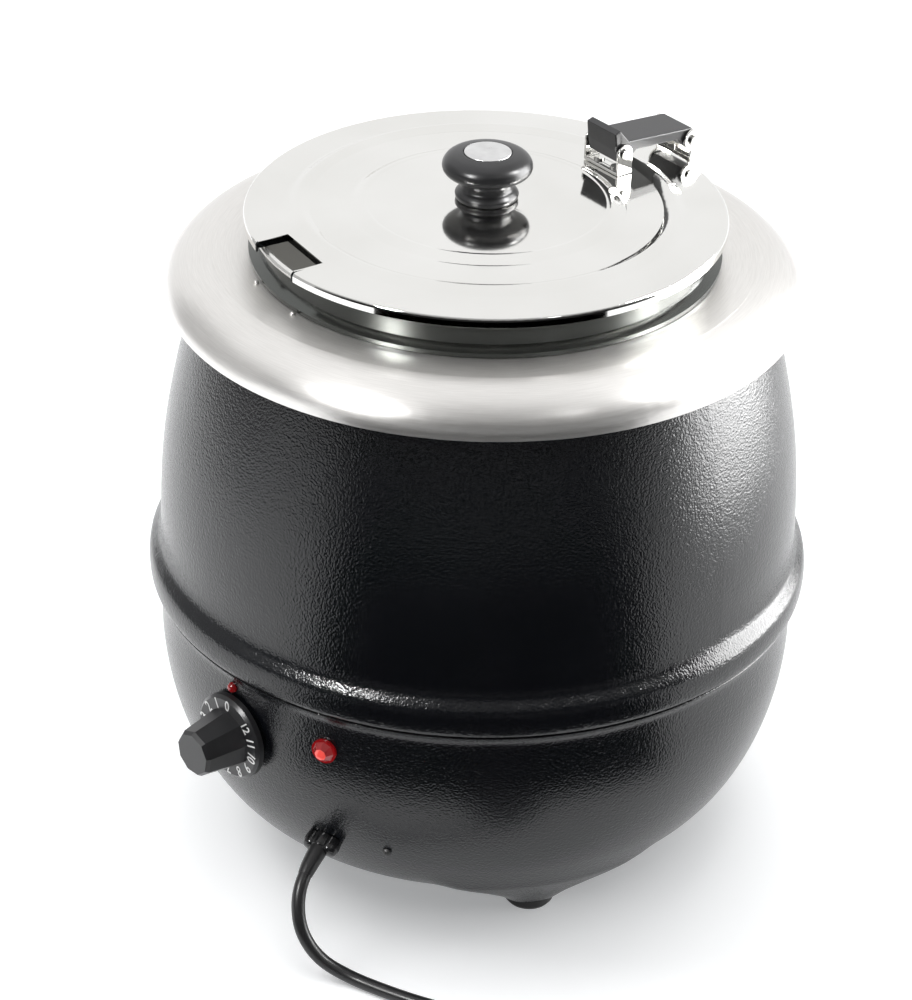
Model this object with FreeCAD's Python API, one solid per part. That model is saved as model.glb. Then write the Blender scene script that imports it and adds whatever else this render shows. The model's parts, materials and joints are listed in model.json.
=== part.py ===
import FreeCAD, Part
import math
import os

# Ten litre wet-well soup kettle.
# Row frame: millimetres, +Z up, Z = 0 is the surface under the three feet, the Z axis is the kettle's axis.
# Azimuths are in degrees, seen from above: 0 points along -Y (the front), 90 along +X.

# ---------------------------------------------------------------- driving dimensions
SHEET = 1.2                 # steel sheet of the casing
FOOT_CIRCLE_R = 107.0
FOOT_AZIMUTHS = (60.0, 180.0, 300.0)
FOOT_TOP_Z = 5.5
FOOT_R = 13.0
FOOT_SCREW_R = 2.5
SCREW_R = 1.5

BOTTOM_Z = 18.5             # underside of the lower casing between its legs
BOTTOM_FLAT_R = 110.0       # where the bottom starts to curve up
BOTTOM_HOLE_R = 68.0
WALL_R = 166.8              # lower casing, straight part of the wall
WALL_CURVE_TOP_Z = 120.0
WALL_EXPONENT = 1.9         # roundness of the curve from bottom to wall
CREASE_Z = 147.0            # gap line between the two casings
LIP_R = 170.8               # lower casing's flared lip under the bead
LIP_START_Z = 137.0
SPIGOT_R = 164.0            # lower casing's neck inside the upper one
SPIGOT_TOP_Z = 166.0

BEAD_R = 172.5              # widest part of the casing
BEAD_FACE_Z = (150.5, 158.5)

UPPER_FLANGE_Z = 324.4      # underside of the upper casing's top flange
UPPER_FLANGE_R = 128.0      # the flange's inner edge
UPPER_TOP_R = 141.0         # where the wall meets the flange

OPENING_R = 117.6
OPENING_EDGE_Z = 318.0      # lower end of the edge turned down into the opening
COLLAR_TOP_Z = 328.0
COLLAR_EDGE_R = 160.8
COLLAR_EDGE_Z = 306.7
COLLAR_HEM_R = 157.5        # inner edge of the hem under the skirt
COLLAR_FLAT_R = 137.0
COLLAR_SHEET = 1.0
NUB_OFFSET = 9.0            # degrees from the ladle notch to each nub
NUB_R = 1.5

WELL_R = 124.0              # inside of the water well
WELL_FLOOR_Z = 92.0
WELL_SHEET = 1.2
WELL_CORNER_R = 12.0

ELEMENT_R = 76.0
ELEMENT_TUBE_R = 4.2
ELEMENT_GAP = 24.0          # degrees left open between the element's cold ends
ELEMENT_LEG = 24.0
ELEMENT_PIN = 9.0
ELEMENT_Z = WELL_FLOOR_Z - WELL_SHEET - ELEMENT_TUBE_R - 0.1
CLAMP_Z = ELEMENT_Z - ELEMENT_TUBE_R - 0.1
CLAMP_SHEET = 1.5
CLAMP_R = 90.0
CLAMP_HOLE_R = 30.0
STUD_CIRCLE_R = 50.0
STUD_AZIMUTHS = (30.0, 150.0, 270.0)
STUD_R = 2.5
TIE_CIRCLE_R = 56.0
TIE_AZIMUTHS = (90.0, 210.0, 330.0)
TIE_R = 2.0
NUT_HEIGHT = 3.2
BASE_PLATE_R = 78.0
BASE_SCREW_CIRCLE_R = 73.0
BASE_SCREW_AZIMUTHS = (0.0, 120.0, 240.0)
BASE_SCREW_R = 1.5
VENT_COUNT = 12
VENT_CIRCLE_R = 36.0
VENT_R = 3.0
HOLE_GAP = 0.1              # radial gap round screws, rods and necks

POT_R = 113.4               # inside of the soup pot
POT_SHEET = 1.0
POT_FLOOR_Z = 106.0
POT_CORNER_R = 16.0
POT_RIM_Z = 344.7           # centre of the rolled rim
POT_RIM_BEAD_R = 2.0
POT_RIM_R = 115.9
POT_BEAD_Z = 330.6          # bead that rests on the collar

LID_R = 121.3
LID_EDGE_Z = 345.6          # lower end of the turned-down edge
LID_SHEET = 1.0
LID_FLAT_Z = 351.4          # top of the lid between its rings
LID_DOME_Z = 356.4          # top of the lid at its middle
NOTCH_AZ = -16.0
NOTCH_WIDTH = 36.0
NOTCH_INNER_R = 102.5
NOTCH_LIP_Z = 347.3         # lower edge of the notch's turned-down lips
KNOB_BASE_Z = LID_DOME_Z + 0.1
KNOB_RECESS_Z = KNOB_BASE_Z + 23.4
KNOB_SCREW_R = 2.5

HINGE_AZ = 171.0
FRONT_PIN_S = 78.5          # distance of the pins from the kettle's axis
FRONT_PIN_Z = 364.0
REAR_PIN_S = 124.5
REAR_PIN_Z = 360.0
PIN_R = 1.75
PIN_CLEARANCE = 0.05
BRACKET_WIDTH = 27.0
BRACKET_SHEET = 1.5
BRACKET_EAR_R = 4.8
BRACKET_BASE_Z = 352.7
BRACKET_RIVET_W = (-6.5, 6.5)
CLIP_WALL_S = POT_R + POT_SHEET + 0.6
CLIP_EYE_R = 6.0
CLIP_RIVET_W = (-7.0, 7.0)
CLIP_RIVET_Z = 338.0
RIVET_R = 1.5
ARM_HALF_WIDTH = BRACKET_WIDTH / 2 - BRACKET_SHEET - 0.4

WALL_INSIDE_S = WALL_R - SHEET
DIAL_AZ = -3.0
DIAL_Z = 109.0
DIAL_SKIRT_R = 23.0
DIAL_SKIRT_T = 4.6
DIAL_BACK_S = 168.2         # back face of the skirt
GRIP_HEIGHT = 23.0
GRIP_FACETS = 9
SPINDLE_R = 3.0
SPINDLE_HOLE_R = 3.06
SPINDLE_TIP_S = DIAL_BACK_S + 12.0
THERMOSTAT_BUSH_R = 5.0
THERMOSTAT_GAP = 4.5        # from the case to the inside of the wall
THERMOSTAT_SIZE = (24.0, 30.0, 36.0)
BULB_R = 3.0
BULB_LENGTH = 60.0
BULB_Z = 112.0
LAMP_AZ = 16.8
LAMP_Z = 123.2
LAMP_BARREL_R = 4.8
LAMP_FLANGE_R = 6.6
LAMP_FACETS = 8
MARKER_AZ = -3.8
MARKER_Z = 135.6
MARKER_R = 2.8
MARKER_STEM_R = 1.2

GLAND_AZ = 14.3
GLAND_Z = 59.0
SCREW_DOT_AZ = 27.2
SCREW_DOT_Z = 62.0
SCREW_DOT_R = 2.4
GLAND_HEAD = 9.0            # the gland's length outside the wall
GLAND_NECK_R = 5.6
TERMINAL_AZ = 40.0
CORD_R = 3.5
CORD_EXIT_RUN = 14.5        # straight length out of the gland
COIL_CENTRE = (215.0, -169.0)
COIL_MID_R = 38.5
COIL_COLUMNS = 3
COIL_LAYERS = 2
PLUG_R = 18.5
PLUG_LENGTH = 44.0
PLUG_OFFSET_X = 13.0        # the plug's axis beyond the coil's outer turn
PIN_SPREAD = 9.5
PIN_LENGTH = 19.0

# The lead's route to the coil; the gland gives the two points before these.
CORD_ROUTE = [
    (47.9, -179.2, 38.7),
    (54.3, -182.5, 24.9),
    (63.7, -178.9, 11.3),
    (78.0, -171.2, 3.8),
    (96.0, -166.8, 3.5),
    (116.0, -161.0, 3.5),
    (140.0, -151.0, 3.5),
    (166.0, -137.5, 3.5),
    (190.0, -126.4, 3.5),
]

V = FreeCAD.Vector
ORIGIN = V(0, 0, 0)
UP = V(0, 0, 1)


# ---------------------------------------------------------------- helpers
def heading(azimuth):
    """Horizontal unit vector pointing away from the axis at an azimuth."""
    angle = math.radians(azimuth)
    return V(math.sin(angle), -math.cos(angle), 0)


def sideways(azimuth):
    """Horizontal unit vector square to heading(), towards growing azimuth."""
    angle = math.radians(azimuth)
    return V(math.cos(angle), math.sin(angle), 0)


def at(azimuth, s, w, z):
    """Point at distance s from the axis, w to the side and height z."""
    return heading(azimuth) * s + sideways(azimuth) * w + UP * z


def edges_through(stretches):
    """Edges of a closed outline; a stretch is a list of (r, z), straight for two points, else a curve."""
    edges = []
    for stretch in stretches:
        points = [V(r, 0, z) for r, z in stretch]
        if len(points) == 2:
            edges.append(Part.LineSegment(points[0], points[1]).toShape())
        else:
            curve = Part.BSplineCurve()
            curve.interpolate(points)
            edges.append(curve.toShape())
    return edges


def turned(stretches):
    """Solid of revolution about the kettle's axis."""
    face = Part.Face(Part.Wire(edges_through(stretches)))
    return face.revolve(ORIGIN, UP, 360)


def turned_polygon(points):
    """Solid of revolution from a straight-sided (r, z) outline."""
    closed = points + points[:1]
    return turned([list(pair) for pair in zip(closed, closed[1:])])


def offset_curve(points, distance):
    """(r, z) points moved square to their curve; a positive distance moves to the left of travel."""
    moved = []
    for index, (r, z) in enumerate(points):
        before = points[max(index - 1, 0)]
        after = points[min(index + 1, len(points) - 1)]
        dr = after[0] - before[0]
        dz = after[1] - before[1]
        length = math.hypot(dr, dz)
        moved.append((r - distance * dz / length, z + distance * dr / length))
    return moved


def skin(points, thickness):
    """Turned sheet of even thickness along an outer curve that is listed upwards."""
    inner = offset_curve(points, thickness)
    return turned([points, [points[-1], inner[-1]], inner[::-1], [inner[0], points[0]]])


def rod(start, direction, radius, length):
    return Part.makeCylinder(radius, length, start, direction)


def block(azimuth, s_range, w_range, z_range):
    """Box square to the radial direction at an azimuth."""
    corners = [
        at(azimuth, s_range[0], w_range[0], z_range[0]),
        at(azimuth, s_range[1], w_range[0], z_range[0]),
        at(azimuth, s_range[1], w_range[1], z_range[0]),
        at(azimuth, s_range[0], w_range[1], z_range[0]),
    ]
    face = Part.Face(Part.makePolygon(corners + corners[:1]))
    return face.extrude(UP * (z_range[1] - z_range[0]))


def side_plate(azimuth, outline, w_from, w_to):
    """Plate in the radial plane: outline is a list of (s, z), thickness runs sideways."""
    points = [at(azimuth, s, w_from, z) for s, z in outline]
    face = Part.Face(Part.makePolygon(points + points[:1]))
    return face.extrude(sideways(azimuth) * (w_to - w_from))


def hexagon(centre, across, height):
    """Upright hexagonal prism; across is its width over the flats."""
    radius = across / math.sqrt(3)
    corners = []
    for index in range(6):
        angle = math.radians(60 * index)
        corners.append(centre + V(radius * math.cos(angle), radius * math.sin(angle), 0))
    return Part.Face(Part.makePolygon(corners + corners[:1])).extrude(UP * height)


def nut(centre, across, bore_r):
    """Plain hexagonal nut that stands on centre."""
    return hexagon(centre, across, NUT_HEIGHT).cut(rod(centre, UP, bore_r, NUT_HEIGHT))


def join(shapes):
    """One solid from overlapping shapes."""
    return shapes[0].multiFuse(shapes[1:]).removeSplitter()


def group(shapes):
    """Separate solids kept in one node."""
    return Part.makeCompound(shapes)


def export(name, shape):
    shape.exportStep("parts/" + name + ".step")
    solids = len(shape.Solids)
    print(f"{name:18s} solids {solids} valid {shape.isValid()} volume {shape.Volume:10.1f} mm3")


# ---------------------------------------------------------------- casings
def lower_wall_curve():
    """Outer curve of the lower casing from its flat bottom to the straight wall."""
    points = []
    steps = 12
    for index in range(steps + 1):
        angle = math.radians(90 - 90 * index / steps)
        across = math.cos(angle) ** (2 / WALL_EXPONENT) if index else 0.0
        drop = math.sin(angle) ** (2 / WALL_EXPONENT) if index < steps else 0.0
        r = BOTTOM_FLAT_R + (WALL_R - BOTTOM_FLAT_R) * across
        z = WALL_CURVE_TOP_Z - (WALL_CURVE_TOP_Z - BOTTOM_Z) * drop
        points.append((r, z))
    return points


def wall_radius(z):
    """Outer radius of the lower casing's curved wall at a height."""
    drop = ((WALL_CURVE_TOP_Z - z) / (WALL_CURVE_TOP_Z - BOTTOM_Z)) ** (WALL_EXPONENT / 2)
    return BOTTOM_FLAT_R + (WALL_R - BOTTOM_FLAT_R) * (1 - drop ** 2) ** (1 / WALL_EXPONENT)


def wall_normal(azimuth, z):
    """Outward direction square to the lower casing's wall."""
    slope = wall_radius(z + 0.5) - wall_radius(z - 0.5)
    return (heading(azimuth) - UP * slope).normalize()


def wall_point(azimuth, z, along):
    """Point on the line square to the wall; zero is the outer face."""
    return at(azimuth, wall_radius(z), 0, z) + wall_normal(azimuth, z) * along


def filled_bowl(inset):
    """Lower casing as a filled body, made smaller all round by inset."""
    curve = lower_wall_curve()
    if inset:
        curve = offset_curve(curve, inset)
        curve[0] = (BOTTOM_FLAT_R, BOTTOM_Z + inset)
        curve[-1] = (WALL_R - inset, WALL_CURVE_TOP_Z)
    lip = [(WALL_R, LIP_START_Z), (WALL_R + 0.5, LIP_START_Z + 4.5), (LIP_R - 1.6, CREASE_Z - 2.4)]
    lip = [(r - inset, z) for r, z in lip + [(LIP_R, CREASE_Z - 0.6)]]
    top = lip[-1]
    floor = (0, curve[0][1])
    centre = (0, top[1])
    return turned([[floor, curve[0]], curve, [curve[-1], lip[0]], lip, [top, centre], [centre, floor]])


def leg(azimuth, inset):
    """Pressed leg: a flare round the foot, kept inside a steep cone on its outer side."""
    pad = FOOT_R + 1.5 - inset
    low = FOOT_TOP_Z + inset
    flare = [(pad, low), (pad + 3.5, low + 3), (pad + 11, low + 10), (pad + 21, low + 18)]
    flare.append((pad + 34, low + 25))
    outline = [[(0, low), flare[0]], flare, [flare[-1], (0, low + 25)], [(0, low + 25), (0, low)]]
    trumpet = turned(outline)
    trumpet.translate(heading(180) * FOOT_CIRCLE_R)
    outer = FOOT_CIRCLE_R + pad
    limit = turned_polygon([(0, low), (outer, low), (outer + 14, low + 27), (0, low + 27)])
    shape = trumpet.common(limit)
    shape.rotate(ORIGIN, UP, azimuth - 180)
    return shape


def lower_shell():
    outside = join([filled_bowl(0)] + [leg(azimuth, 0) for azimuth in FOOT_AZIMUTHS])
    inside = join([filled_bowl(SHEET)] + [leg(azimuth, SHEET) for azimuth in FOOT_AZIMUTHS])
    shell = outside.cut(inside)
    lip_top = CREASE_Z - 0.6
    spigot = turned_polygon([
        (SPIGOT_R - SHEET, lip_top - SHEET),
        (LIP_R - SHEET / 2, lip_top - SHEET),
        (LIP_R - SHEET / 2, lip_top),
        (SPIGOT_R, lip_top),
        (SPIGOT_R, SPIGOT_TOP_Z),
        (SPIGOT_R - SHEET, SPIGOT_TOP_Z),
    ])
    shell = shell.fuse(spigot)
    holes = [Part.makeCylinder(BOTTOM_HOLE_R, 4, V(0, 0, BOTTOM_Z - 1))]
    for azimuth in FOOT_AZIMUTHS:
        holes.append(rod(at(azimuth, FOOT_CIRCLE_R, 0, FOOT_TOP_Z - 1), UP, FOOT_SCREW_R + HOLE_GAP, 4))
    for azimuth in BASE_SCREW_AZIMUTHS:
        start = at(azimuth, BASE_SCREW_CIRCLE_R, 0, BOTTOM_Z - 1)
        holes.append(rod(start, UP, BASE_SCREW_R + HOLE_GAP, 4))
    for azimuth, z, radius in (
        (DIAL_AZ, DIAL_Z, THERMOSTAT_BUSH_R),
        (LAMP_AZ, LAMP_Z, LAMP_BARREL_R),
        (MARKER_AZ, MARKER_Z, MARKER_STEM_R),
    ):
        holes.append(rod(at(azimuth, WALL_R - 15, 0, z), heading(azimuth), radius + HOLE_GAP, 30))
    holes.append(rod(gland_point(-12), gland_direction(), GLAND_NECK_R + HOLE_GAP, 22))
    dot_start = wall_point(SCREW_DOT_AZ, SCREW_DOT_Z, -8)
    holes.append(rod(dot_start, wall_normal(SCREW_DOT_AZ, SCREW_DOT_Z), SCREW_R + HOLE_GAP, 14))
    return shell.cut(Part.makeCompound(holes))


def upper_shell():
    """Upper casing: rounded bead at the bottom, long taper, flange under the collar."""
    low, high = BEAD_FACE_Z
    wall = [
        (BEAD_R - 2.0, CREASE_Z), (BEAD_R - 0.5, CREASE_Z + 1.4), (BEAD_R, low), (BEAD_R, high),
        (BEAD_R - 1.2, high + 4.0), (BEAD_R - 4.2, high + 7.6), (166.8, high + 11), (166.2, high + 17),
        (165.9, 190), (165.0, 208), (163.2, 226), (160.6, 243), (157.2, 260), (153.6, 276), (150.0, 291),
        (146.0, 306), (UPPER_TOP_R, 319),
    ]
    sheet = skin(wall, SHEET)
    flange_top = UPPER_FLANGE_Z + SHEET
    inner_r = UPPER_TOP_R - SHEET - 0.4
    flange = turned_polygon([
        (inner_r, 317.5),
        (UPPER_TOP_R + 0.2, 317.5),
        (UPPER_TOP_R, flange_top),
        (UPPER_FLANGE_R, flange_top),
        (UPPER_FLANGE_R, UPPER_FLANGE_Z),
        (inner_r, UPPER_FLANGE_Z),
    ])
    return sheet.fuse(flange).removeSplitter()


def collar():
    """Stainless ring: flat top, rounded shoulder, short skirt, edge turned down into the opening."""
    top = [
        (COLLAR_EDGE_R, COLLAR_EDGE_Z), (COLLAR_EDGE_R + 0.3, 311.5), (158.6, 317.5), (153.4, 322.6),
        (145.8, 326.4), (COLLAR_FLAT_R, COLLAR_TOP_Z),
    ]
    shoulder = skin(top, COLLAR_SHEET)
    under = COLLAR_TOP_Z - COLLAR_SHEET
    flat = turned_polygon([
        (OPENING_R, OPENING_EDGE_Z), (OPENING_R + COLLAR_SHEET, OPENING_EDGE_Z),
        (OPENING_R + COLLAR_SHEET, under), (COLLAR_FLAT_R + 0.4, under),
        (COLLAR_FLAT_R + 0.4, COLLAR_TOP_Z), (OPENING_R, COLLAR_TOP_Z),
    ])
    hem = turned_polygon([
        (COLLAR_EDGE_R, COLLAR_EDGE_Z), (COLLAR_EDGE_R, COLLAR_EDGE_Z + COLLAR_SHEET),
        (COLLAR_HEM_R, COLLAR_EDGE_Z + COLLAR_SHEET), (COLLAR_HEM_R, COLLAR_EDGE_Z),
    ])
    return join([shoulder, flat, hem])


def collar_nubs():
    """Two small pips on the collar's opening, either side of the ladle notch."""
    pips = []
    for offset in (-NUB_OFFSET, NUB_OFFSET):
        centre = at(NOTCH_AZ + offset, OPENING_R + 3.4, 0, COLLAR_TOP_Z)
        pips.append(Part.makeSphere(NUB_R, centre).common(Part.makeCylinder(2 * NUB_R, NUB_R, centre)))
    return group(pips)


# ---------------------------------------------------------------- well, element and base
def water_well():
    """Deep drawn well with a flange under the collar."""
    under = COLLAR_TOP_Z - COLLAR_SHEET
    depth = under - WELL_FLOOR_Z
    inside = Part.makeCylinder(WELL_R, depth + 5, V(0, 0, WELL_FLOOR_Z))
    inside = inside.makeFillet(WELL_CORNER_R, [inside.Edges[2]])
    outside = Part.makeCylinder(WELL_R + WELL_SHEET, depth + WELL_SHEET, V(0, 0, WELL_FLOOR_Z - WELL_SHEET))
    outside = outside.makeFillet(WELL_CORNER_R + WELL_SHEET, [outside.Edges[2]])
    flange = turned_polygon([
        (WELL_R + 0.5, under - WELL_SHEET), (COLLAR_FLAT_R, under - WELL_SHEET), (COLLAR_FLAT_R, under),
        (WELL_R + 0.5, under),
    ])
    return outside.fuse(flange).cut(inside)


def heating_element():
    """Tubular ring, open at the back, with two cold ends turned down."""
    ring = Part.makeTorus(ELEMENT_R, ELEMENT_TUBE_R, ORIGIN, UP, -180, 180, 360 - ELEMENT_GAP)
    ring.rotate(ORIGIN, UP, ELEMENT_GAP / 2 + 90)
    ring.translate(UP * ELEMENT_Z)
    pieces = [ring]
    for side in (-1, 1):
        end = at(180 + side * ELEMENT_GAP / 2, ELEMENT_R, 0, ELEMENT_Z)
        pieces.append(Part.makeSphere(ELEMENT_TUBE_R, end))
        pieces.append(rod(end, UP * -1, ELEMENT_TUBE_R, ELEMENT_LEG))
        pieces.append(rod(end - UP * ELEMENT_LEG, UP * -1, 1.6, ELEMENT_PIN))
    return join(pieces)


def element_clamp():
    """Ring plate that presses the element against the well; it is cut away round the cold ends."""
    low = CLAMP_Z - 4
    plate = Part.makeCylinder(CLAMP_R, CLAMP_SHEET, V(0, 0, CLAMP_Z - CLAMP_SHEET))
    holes = [Part.makeCylinder(CLAMP_HOLE_R, 6, V(0, 0, low))]
    holes.append(block(180, (60, CLAMP_R + 5), (-22, 22), (low, CLAMP_Z + 2)))
    for azimuth in STUD_AZIMUTHS:
        holes.append(rod(at(azimuth, STUD_CIRCLE_R, 0, low), UP, STUD_R + HOLE_GAP, 8))
    for azimuth in TIE_AZIMUTHS:
        holes.append(rod(at(azimuth, TIE_CIRCLE_R, 0, low), UP, TIE_R + HOLE_GAP, 8))
    return plate.cut(Part.makeCompound(holes))


def clamp_studs():
    """Three studs under the well's floor."""
    low = CLAMP_Z - CLAMP_SHEET - NUT_HEIGHT - 2
    high = WELL_FLOOR_Z - WELL_SHEET
    starts = [at(azimuth, STUD_CIRCLE_R, 0, low) for azimuth in STUD_AZIMUTHS]
    return group([rod(start, UP, STUD_R, high - low) for start in starts])


def clamp_nuts():
    nuts = []
    for azimuth in STUD_AZIMUTHS:
        centre = at(azimuth, STUD_CIRCLE_R, 0, CLAMP_Z - CLAMP_SHEET - NUT_HEIGHT)
        nuts.append(nut(centre, 8, STUD_R))
    return group(nuts)


def tie_rods():
    """Three rods that pull the base plate up against the lower casing."""
    low = BOTTOM_Z - SHEET - NUT_HEIGHT - 1
    length = CLAMP_Z + 1.5 - low
    return group([rod(at(azimuth, TIE_CIRCLE_R, 0, low), UP, TIE_R, length) for azimuth in TIE_AZIMUTHS])


def tie_nuts():
    """One nut under the base plate and one under the clamp on each rod."""
    nuts = []
    for azimuth in TIE_AZIMUTHS:
        for z in (BOTTOM_Z - SHEET - NUT_HEIGHT, CLAMP_Z - CLAMP_SHEET - NUT_HEIGHT):
            nuts.append(nut(at(azimuth, TIE_CIRCLE_R, 0, z), 7, TIE_R))
    return group(nuts)


def base_plate():
    """Vented plate under the bottom hole."""
    plate = Part.makeCylinder(BASE_PLATE_R, SHEET, V(0, 0, BOTTOM_Z - SHEET))
    low = BOTTOM_Z - 4
    holes = []
    for azimuth in TIE_AZIMUTHS:
        holes.append(rod(at(azimuth, TIE_CIRCLE_R, 0, low), UP, TIE_R + HOLE_GAP, 8))
    for azimuth in BASE_SCREW_AZIMUTHS:
        holes.append(rod(at(azimuth, BASE_SCREW_CIRCLE_R, 0, low), UP, BASE_SCREW_R + HOLE_GAP, 8))
    for index in range(VENT_COUNT):
        holes.append(rod(at(360 * index / VENT_COUNT, VENT_CIRCLE_R, 0, low), UP, VENT_R, 8))
    return plate.cut(Part.makeCompound(holes))


def base_screws():
    screws = []
    for azimuth in BASE_SCREW_AZIMUTHS:
        head = rod(at(azimuth, BASE_SCREW_CIRCLE_R, 0, BOTTOM_Z - SHEET - 2), UP, 3.2, 2)
        shank = rod(at(azimuth, BASE_SCREW_CIRCLE_R, 0, BOTTOM_Z - SHEET - 1), UP, BASE_SCREW_R, 8)
        screws.append(join([head, shank]))
    return group(screws)


def rubber_feet():
    """Foot with a chamfered tread and a recess for its screw."""
    feet = []
    for azimuth in FOOT_AZIMUTHS:
        bore = FOOT_SCREW_R + HOLE_GAP
        foot = turned_polygon([
            (bore, 3.2), (6.0, 3.2), (6.0, 0), (FOOT_R - 1.5, 0), (FOOT_R, 2), (FOOT_R, FOOT_TOP_Z),
            (bore, FOOT_TOP_Z),
        ])
        foot.translate(heading(azimuth) * FOOT_CIRCLE_R)
        feet.append(foot)
    return group(feet)


def foot_screws():
    screws = []
    for azimuth in FOOT_AZIMUTHS:
        head = rod(at(azimuth, FOOT_CIRCLE_R, 0, 1.0), UP, 4.6, 2.2)
        shank = rod(at(azimuth, FOOT_CIRCLE_R, 0, 2.0), UP, FOOT_SCREW_R, 11)
        screws.append(join([head, shank]))
    return group(screws)


def foot_nuts():
    nuts = []
    for azimuth in FOOT_AZIMUTHS:
        nuts.append(nut(at(azimuth, FOOT_CIRCLE_R, 0, FOOT_TOP_Z + SHEET), 8, FOOT_SCREW_R))
    return group(nuts)


# ---------------------------------------------------------------- thermostat, dial and lamp
def thermostat():
    """Capillary thermostat: case behind the wall and a bush through it that guides the spindle."""
    back = WALL_INSIDE_S - THERMOSTAT_GAP
    depth, width, height = THERMOSTAT_SIZE
    direction = heading(DIAL_AZ)
    z_range = (DIAL_Z - height / 2, DIAL_Z + height / 2)
    case = block(DIAL_AZ, (back - depth, back), (-width / 2, width / 2), z_range)
    bush_length = THERMOSTAT_GAP + SHEET + 1.6
    bush = rod(at(DIAL_AZ, back - 1, 0, DIAL_Z), direction, THERMOSTAT_BUSH_R, bush_length)
    bore = rod(at(DIAL_AZ, back - depth / 2, 0, DIAL_Z), direction, SPINDLE_HOLE_R, 20)
    return join([case, bush]).cut(bore)


def dial_spindle():
    """Spindle from the thermostat into the dial."""
    start = WALL_INSIDE_S - THERMOSTAT_GAP - 11
    return rod(at(DIAL_AZ, start, 0, DIAL_Z), heading(DIAL_AZ), SPINDLE_R, SPINDLE_TIP_S - start)


def sensor_bulb():
    """Bulb that lies against the outside of the well."""
    well_r = WELL_R + WELL_SHEET
    start = at(DIAL_AZ, well_r + BULB_R + 0.2, -BULB_LENGTH / 2, BULB_Z)
    well = Part.makeCylinder(well_r + 0.1, 40, V(0, 0, BULB_Z - 20))
    return rod(start, sideways(DIAL_AZ), BULB_R, BULB_LENGTH).cut(well)


def lamp_lens():
    """Faceted red lens with a round flange."""
    start = at(LAMP_AZ, WALL_R + 0.2, 0, LAMP_Z)
    direction = heading(LAMP_AZ)
    flange = rod(start, direction, LAMP_FLANGE_R, 1.6)
    lower = []
    upper = []
    for index in range(LAMP_FACETS):
        angle = 2 * math.pi * index / LAMP_FACETS
        across = sideways(LAMP_AZ) * math.cos(angle) + UP * math.sin(angle)
        lower.append(start + direction * 1.4 + across * 5.9)
        upper.append(start + direction * 4.8 + across * 3.2)
    crown = Part.makeLoft([
        Part.makePolygon(lower + lower[:1]),
        Part.makePolygon(upper + upper[:1]),
    ], True, True)
    return join([flange, crown])


def lamp_body():
    """Barrel behind the lens with two tags."""
    direction = heading(LAMP_AZ)
    barrel = rod(at(LAMP_AZ, WALL_INSIDE_S - 20, 0, LAMP_Z), direction, LAMP_BARREL_R, 21.2)
    s_range = (WALL_INSIDE_S - 28, WALL_INSIDE_S - 19.5)
    z_range = (LAMP_Z - 0.4, LAMP_Z + 0.4)
    tags = [block(LAMP_AZ, s_range, (w - 1.5, w + 1.5), z_range) for w in (-2.4, 2.4)]
    return join([barrel] + tags)


def lamp_nut():
    """Spring nut that holds the lamp behind the wall."""
    direction = heading(LAMP_AZ)
    start = at(LAMP_AZ, WALL_INSIDE_S - 3.4, 0, LAMP_Z)
    return rod(start, direction, 8.0, 2.4).cut(rod(start, direction, LAMP_BARREL_R, 2.4))


def dial_marker():
    """Small red dome above the dial with a stem through the wall."""
    direction = heading(MARKER_AZ)
    centre = at(MARKER_AZ, WALL_R + 0.1, 0, MARKER_Z)
    dome = Part.makeSphere(MARKER_R, centre).common(rod(centre, direction, 4, 4))
    return join([dome, rod(centre - direction * 4, direction, MARKER_STEM_R, 4.5)])


def dial_skirt():
    """Round skirt that carries the scale; its edge is chamfered."""
    back = at(DIAL_AZ, DIAL_BACK_S, 0, DIAL_Z)
    direction = heading(DIAL_AZ)
    chamfer = 1.6
    disc = rod(back, direction, DIAL_SKIRT_R, DIAL_SKIRT_T - chamfer)
    edge_start = back + direction * (DIAL_SKIRT_T - chamfer)
    edge = Part.makeCone(DIAL_SKIRT_R, DIAL_SKIRT_R - chamfer, chamfer, edge_start, direction)
    return join([disc, edge]).cut(rod(back, direction, SPINDLE_R, 8))


def dial_grip():
    """Tapered grip with flat faces, standing on the skirt."""
    direction = heading(DIAL_AZ)
    start = at(DIAL_AZ, DIAL_BACK_S + DIAL_SKIRT_T, 0, DIAL_Z)
    rings = []
    for along, radius in ((0.0, 15.8), (GRIP_HEIGHT - 2.0, 12.6), (GRIP_HEIGHT, 11.2)):
        corners = []
        for index in range(GRIP_FACETS):
            angle = 2 * math.pi * index / GRIP_FACETS + math.pi / 2
            across = sideways(DIAL_AZ) * math.cos(angle) + UP * math.sin(angle)
            corners.append(start + direction * along + across * radius)
        rings.append(Part.makePolygon(corners + corners[:1]))
    body = Part.makeLoft(rings, True, True)
    depth = SPINDLE_TIP_S - DIAL_BACK_S - DIAL_SKIRT_T
    return body.cut(rod(start - direction, direction, SPINDLE_R, depth + 1))


# ---------------------------------------------------------------- wiring side
def gland_direction():
    return wall_normal(GLAND_AZ, GLAND_Z)


def gland_point(along):
    return wall_point(GLAND_AZ, GLAND_Z, along)


def cord_gland():
    """Two-lobed strain relief: a lobe each side of the lead and a neck through the wall."""
    direction = gland_direction()
    side = sideways(GLAND_AZ)
    base = gland_point(1.0)
    lobes = []
    for sign in (-1, 1):
        lobes.append(rod(base + side * (5.2 * sign), direction, 4.6, GLAND_HEAD - 1.6))
    bridge = rod(base, direction, 5.4, GLAND_HEAD - 1.0)
    neck = rod(gland_point(-9), direction, GLAND_NECK_R, 11)
    return join(lobes + [bridge, neck])


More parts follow.
